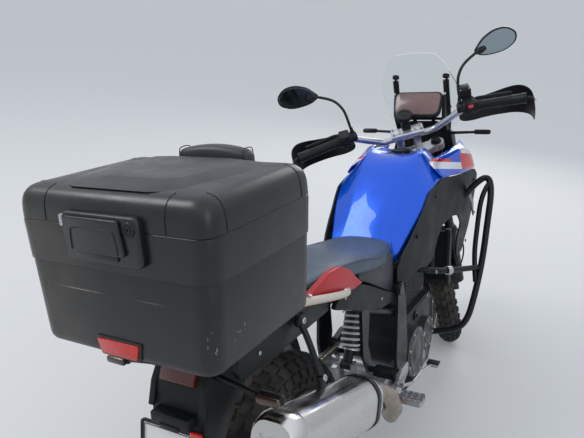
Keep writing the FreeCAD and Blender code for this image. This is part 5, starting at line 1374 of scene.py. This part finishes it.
def brake_discs():
    """Drilled brake discs on dark carriers, with their bobbins, bolts and the tyres' valves."""
    heights = (FRONT_DISC_AT, -FRONT_DISC_AT - DISC_THICK)
    front = joined(*[drilled_ring(152, 112, height) for height in heights])
    rings = finished("front_disc_rings", front, "disc_steel", "front_wheel", soft=1)
    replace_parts(rings, "front_discs")
    carriers = joined(*[disc_carrier(117, 6, height) for height in heights])
    finished("front_disc_carriers", carriers, "rim_black", "front_wheel")
    rear = drilled_ring(132, 96, -REAR_DISC_AT)
    ring = finished("rear_disc_ring", rear, "disc_steel", "rear_wheel", soft=1)
    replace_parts(ring, "rear_disc")
    finished("rear_disc_carrier", disc_carrier(101, 5, -REAR_DISC_AT), "rim_black", "rear_wheel")
    under = Matrix.Scale(-1, 4, (0, 0, 1))
    for name, count, reach, face, sides in (("front", 6, 114, FRONT_DISC_AT + DISC_THICK, (Matrix(), under)),
                                            ("rear", 5, 98, REAR_DISC_AT, (under,))):
        bobbin = lathe([(0, 1.6), (3, 1.6), (3.6, 2.2), (6, 2.2), (6.6, 1), (6.6, -1)], 16)
        bobbins = copies(bobbin, [aimed(*spot) for spot in axle_spots(count, reach, face)])
        finished(name + "_disc_bobbins", copies(bobbins, sides), "axle_steel", name + "_wheel")
        heads = copies(bolt_head(5.5, 4), [aimed(*spot) for spot in axle_spots(5, 41, face, 18)])
        finished(name + "_disc_bolts", copies(heads, sides), "axle_steel", name + "_wheel")
    for name, rim in (("front", 218), ("rear", 190)):
        stem = lathe([(0, 26), (3.6, 26), (4.2, 24), (4.2, 15), (2.8, 13), (3.4, 0), (0, 0)], 14)
        valve = copies(stem, [turn(36, "Z") @ aimed((rim, 0, 24), (-1, 0, 0.35))])
        finished(name + "_valve", valve, "frame_black", name + "_wheel")


# The chain: teeth on the rear sprocket, a link's length, its line from the middle, and the sprockets' centres
# (x, z) and pitch radii
SPROCKET_TEETH, LINK, CHAIN_AT = 42, 15.9, 98
REAR_SPROCKET, REAR_PITCH = Vector((0, 321)), 106.0
GEARBOX_SPROCKET, GEARBOX_PITCH = Vector((655, 340)), 41.0


def sprocket_teeth():
    """The rear sprocket's teeth."""
    tooth = plate([(96, -6.5, 95.2), (96, 6.5, 95.2), (104, 4.2, 95.2), (109, 1.4, 95.2), (109, -1.4, 95.2),
                   (104, -4.2, 95.2)], (0, 0, 5.6))
    places = [turn(360 * i / SPROCKET_TEETH, "Z") for i in range(SPROCKET_TEETH)]
    finished("sprocket_teeth", copies(tooth, places), "disc_steel", "rear_wheel")
    heads = [aimed(*spot) for spot in axle_spots(5, 66, 101.5, 36)]
    finished("sprocket_bolts", copies(bolt_head(6.5, 6), heads), "axle_steel", "rear_wheel")


def chain_line():
    """The chain's pins round both sprockets, evenly placed, in x and z."""
    rear, front, large, small = REAR_SPROCKET, GEARBOX_SPROCKET, REAR_PITCH, GEARBOX_PITCH
    line = front - rear
    lean = math.acos((large - small) / line.length)
    slope = math.atan2(line.y, line.x)
    run = line.length * math.sin(lean)
    lengths = [run, small * 2 * lean, run, large * (math.tau - 2 * lean)]
    count = 2 * round(sum(lengths) / LINK / 2)
    pins = []
    for i in range(count):
        along = i * sum(lengths) / count
        part = 0
        while along > lengths[part]:
            along -= lengths[part]
            part += 1
        if part in (1, 3):
            middle, radius = (front, small) if part == 1 else (rear, large)
            angle = slope + (lean if part == 1 else -lean) - along / radius
            pins.append(middle + radius * Vector((math.cos(angle), math.sin(angle))))
        else:
            angle = slope + (lean if part == 0 else -lean)
            out = Vector((math.cos(angle), math.sin(angle)))
            start = rear + large * out if part == 0 else front + small * out
            pins.append(start + Vector((out.y, -out.x)) * along)
    return pins


def chain_links():
    """The drive chain: paired plates and rollers, link by link."""
    outline = rounded([(-14.2, 0, -6.8), (14.2, 0, -6.8), (14.2, 0, 6.8), (-14.2, 0, 6.8)], 6.8, 3)
    barrel = lathe([(0, -9), (2.4, -9), (2.4, -4.6), (5, -4.4), (5, 4.4), (2.4, 4.6), (2.4, 9), (0, 9)], 10)
    roller = stood(barrel, (-LINK / 2, 0, 0), (0, 1, 0))
    kinds = []
    for half in (7.4, 5.4):
        walls = [plate([point + Vector((0, side * half - 0.7, 0)) for point in outline], (0, 1.4, 0))
                 for side in (-1, 1)]
        kinds.append(joined(*walls, roller.copy()))
    roller.free()
    pins = chain_line()
    places = ([], [])
    for i, pin in enumerate(pins):
        ahead = pins[(i + 1) % len(pins)]
        along = (ahead - pin).normalized()
        middle = (pin + ahead) / 2000
        places[i % 2].append(Matrix(((along.x, 0, -along.y, middle.x), (0, 1, 0, CHAIN_AT / 1000),
                                     (along.y, 0, along.x, middle.y), (0, 0, 0, 1))))
    links = [copies(kind, spots) for kind, spots in zip(kinds, places)]
    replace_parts(finished("chain_links", joined(*links), "chain_steel"), "chain")


brake_discs()
sprocket_teeth()
chain_links()


# Shock, engine, radiator and the fork's lower parts
SHOCK_FOOT, SHOCK_TOP = Vector((462, 0, 398)), Vector((585, 0, 648))


def shock_spring():
    """The shock's pale spring between its two seats."""
    line = SHOCK_TOP - SHOCK_FOOT
    heading = aimed(SHOCK_FOOT, line)
    turns, low, high, radius = 8, 62, line.length - 58, 32.5
    points = []
    for i in range(turns * 12 + 1):
        angle = math.tau * i / 12
        rise = low + (high - low) * i / (turns * 12)
        points.append(heading @ mm(radius * math.cos(angle), radius * math.sin(angle), rise) * 1000)
    wire("shock_spring", points, 4.5, "spring_white")
    seat = [(30, 0), (39, 0), (39, 5), (36, 9), (30, 9)]
    places = [heading @ Matrix.Translation(mm(0, 0, low - 9)),
              heading @ Matrix.Translation(mm(0, 0, high + 9)) @ turn(180, "X")]
    finished("spring_seats", copies(lathe(seat, 36, closed=True), places), "bar_silver")


def ring_spots(middle, radius, count, start, side):
    """Bolt spots round a cover's middle, facing out to one side."""
    x, y, z = middle
    return [((x + radius * math.cos(a), y, z + radius * math.sin(a)), (0, side, 0))
            for a in (math.radians(start + 360 * i / count) for i in range(count))]


# Middles of the engine covers' faces
CLUTCH_COVER, SMALL_COVER, LEFT_COVER = (730, -154, 350), (905, -142, 345), (905, 160, 345)


def engine_details():
    """Stepped faces, bolts, caps and ribs on the engine's covers and cases."""
    clutch = lathe([(0, 4), (34, 4), (38, 2), (58, 2), (62, 4), (70, 4), (73, 1), (73, -1), (0, -1)], 56)
    small = lathe([(0, 3), (16, 3), (18, 5.5), (24, 5.5), (26, 3), (42, 3), (44, -1), (0, -1)], 44)
    left = lathe([(0, 3), (30, 3), (34, 6), (56, 6), (60, 2), (60, -1), (0, -1)], 52)
    faces = joined(stood(clutch, CLUTCH_COVER, (0, -1, 0)), stood(small, SMALL_COVER, (0, -1, 0)),
                   stood(left, LEFT_COVER, (0, 1, 0)))
    finished("cover_faces", faces, "cover_grey")
    spots = ring_spots(CLUTCH_COVER, 83, 8, 20, -1) + ring_spots(SMALL_COVER, 54, 6, 40, -1)
    spots += ring_spots(LEFT_COVER, 72, 7, 10, 1)
    spots += [((x, 134, z), (0, 1, 0)) for x, z in ((626, 304), (718, 304), (626, 394), (718, 394))]
    bolts("cover_bolts_engine", "axle_steel", spots, 5.5, 5)
    cap = joined(lathe([(0, 8), (15, 8), (18, 5), (18, 0), (0, 0)], 28), block((0, 0, 10), (26, 6, 8), 1.5))
    finished("oil_cap", stood(cap, (812, -120, 452), (0, -1, 0)), "cap_black")
    ribs = [block((x, side * 120, 360), (5, 5, 170), 1.5, 1) for x in (1004, 1022) for side in (-1, 1)]
    ribs += [block((820, side * 120.5, z), (250, 3, 5), 1.2, 1) for z in (266, 474) for side in (-1, 1)]
    finished("case_ribs", joined(*ribs), "engine_dark")
    seams = [side_plate([(768, 487 + z), (1000, 487 + z), (1000, 492 + z), (768, 492 + z)], -98, 98, 2, 1)
             for z in (2, 150)]
    fins = [side_plate([(786 + z * 0.17, 512 + z), (992 + z * 0.12, 512 + z), (992 + z * 0.12, 515 + z),
                        (786 + z * 0.17, 515 + z)], -99, 99, 1, 0.5) for z in range(0, 120, 14)]
    finished("cylinder_seams", joined(*seams, *fins), "engine_dark")
    bolts("head_bolts", "axle_steel", outward(96, [(830, 700), (900, 716), (975, 700)]), 6, 5)
    plug = copies(lathe([(0, 40), (7, 40), (10, 34), (10, 0), (0, 0)], 20),
                  [aimed((900, side * 55, 736), (0, 0, 1)) for side in (-1, 1)])
    finished("plug_caps", plug, "control_black")
    case_edge = [(700, 474), (960, 474), (690, 262), (970, 262), (1030, 420), (1028, 312)]
    bolts("case_bolts", "axle_steel", outward(120, case_edge), 5.5, 4)


RADIATOR, RADIATOR_TILT = (1152, 0, 580), 4


def radiator_face():
    """Fine fins over the radiator's face, inside a frame, and its cap."""
    place = BIKE @ Matrix.Translation(mm(*RADIATOR)) @ turn(RADIATOR_TILT, "Y")
    fins = [block((15.6, 0, -100 + 6.45 * i), (1.6, 272, 1.4), 0.3, 1) for i in range(32)]
    tubes = [block((15.2, -128 + 16 * i, 0), (1.2, 4, 206), 0.3, 1) for i in range(17)]
    finished("radiator_fins", joined(*fins, *tubes), "radiator_black", place=place)
    bars = [block((17, 0, z), (5, 284, 6), 1.5) for z in (-104, 104)]
    bars += [block((17, y, 0), (5, 6, 210), 1.5) for y in (-140, 140)]
    finished("radiator_frame", joined(*bars), "frame_black", place=place)
    cap = lathe([(0, 12), (15, 12), (17, 9), (17, 2), (12, 0), (0, 0)], 24)
    top = Matrix.Translation(mm(0, 148, 114))
    finished("radiator_cap", copies(cap, [top]), "axle_steel", place=place)


def fork_details():
    """Dust seals, axle heads, pinch bolts and the mudguard's screws."""
    seal = lathe([(20.6, 0), (30, 0), (31.5, 2), (31.5, 9), (27, 13), (20.6, 14)], 36, closed=True)
    legs = [(32, side * 105) for side in (-1, 1)]
    steered("dust_seals", copies(seal, [Matrix.Translation(mm(x, y, 640)) for x, y in legs]), "control_black")
    axle = FRONT_AXLE * 1000
    cap = lathe([(0, 2), (9, 2), (9, 7), (15, 7), (18, 4), (18, 0), (0, 0)], 6)
    caps = [aimed(*spot) for spot in outward(134, [(axle.x, axle.z)])]
    steered("axle_heads", copies(cap, caps), "axle_steel")
    pinch = [((axle.x - 6, side * 118, axle.z - 26), (0, 0, -1)) for side in (-1, 1)]
    bolts("axle_pinch_bolts", "axle_steel", pinch, 5, 5, "steering")
    bolts("mudguard_screws", "axle_steel", outward(64, [(54, 640), (18, 640)]), 4.5, 3, "steering")


def small_controls():
    """Foot peg teeth, pedal pads and the axle nuts."""
    tooth = plate([(-4, -8, 0), (4, -8, 0), (2, -8, 7), (-2, -8, 7)], (0, 16, 0))
    teeth = [Matrix.Translation(mm(500 + x, side * (214 + y), 309)) for side in (-1, 1) for x in (-20, 0, 20)
             for y in (-28, -8, 12, 32)]
    finished("peg_teeth", copies(tooth, teeth), "axle_steel")
    sleeve = lathe([(4, 0), (9, 0), (9, 34), (4, 34)], 20, closed=True)
    pads = joined(block((748, -212, 308), (30, 44, 8), 2), stood(sleeve, (706, 184, 300), (0, 1, 0)))
    finished("pedal_pads", pads, "control_black")
    nut = lathe([(0, 12), (11, 12), (17, 9), (17, 0), (0, 0)], 6)
    finished("axle_nuts", both(stood(nut, (0, 152, 321), (0, 1, 0))), "axle_steel")
    bolts("pivot_bolts", "axle_steel", twins([((575, 140, 345), (0, 1, 0))]), 11, 6)


HEADLIGHT, HEADLIGHT_TILT = (1480, 0, 966), 20


def headlight_details():
    """Two bowls behind the headlight's lens, a bar between them and a thin bezel round it."""
    place = BIKE @ Matrix.Translation(mm(*HEADLIGHT)) @ turn(HEADLIGHT_TILT, "Y")
    bowl = lathe([(5, -12), (12, -8), (18, 0), (20.5, 9), (21.5, 9), (19, 0), (13, -10), (5, -14)], 36, closed=True)
    bulb = lathe([(0, 2), (3, 1), (4.5, -3), (4.5, -12), (0, -12)], 20)
    lamp = joined(bowl, bulb)
    bowls = copies(lamp, [aimed((-2, side * 27, 0), (1, 0, 0)) for side in (-1, 1)])
    finished("lamp_bowls", bowls, "yoke_silver", place=place)
    finished("lamp_bar", block((-6, 0, 0), (24, 5, 44), 1.5), "frame_black", place=place)

    def ring(forward, grow):
        half, high = 54 + grow, 27 + grow
        corners = [(forward, half, high), (forward, -half, high), (forward, -half, -high), (forward, half, -high)]
        return [point / 1000 for point in rounded(corners, 10, 4)]

    bezel = skin([ring(10, 1.5), ring(16, 1.5), ring(16, -2.5), ring(14.5, -2.5), ring(14, 0.8), ring(10, 0.8)],
                 around=True)
    finished("lamp_bezel", bezel, "frame_black", place=place)


def screen_screws():
    """Screws on the windscreen."""
    spots = twins([((1330, 104, 1176), (-0.8, 0.5, 0.3)), ((1258, 108, 1290), (-0.9, 0.3, 0.3))])
    bolts("screen_screws", "frame_black", spots, 5.5, 3)


shock_spring()
engine_details()
headlight_details()
screen_screws()
radiator_face()
fork_details()
small_controls()
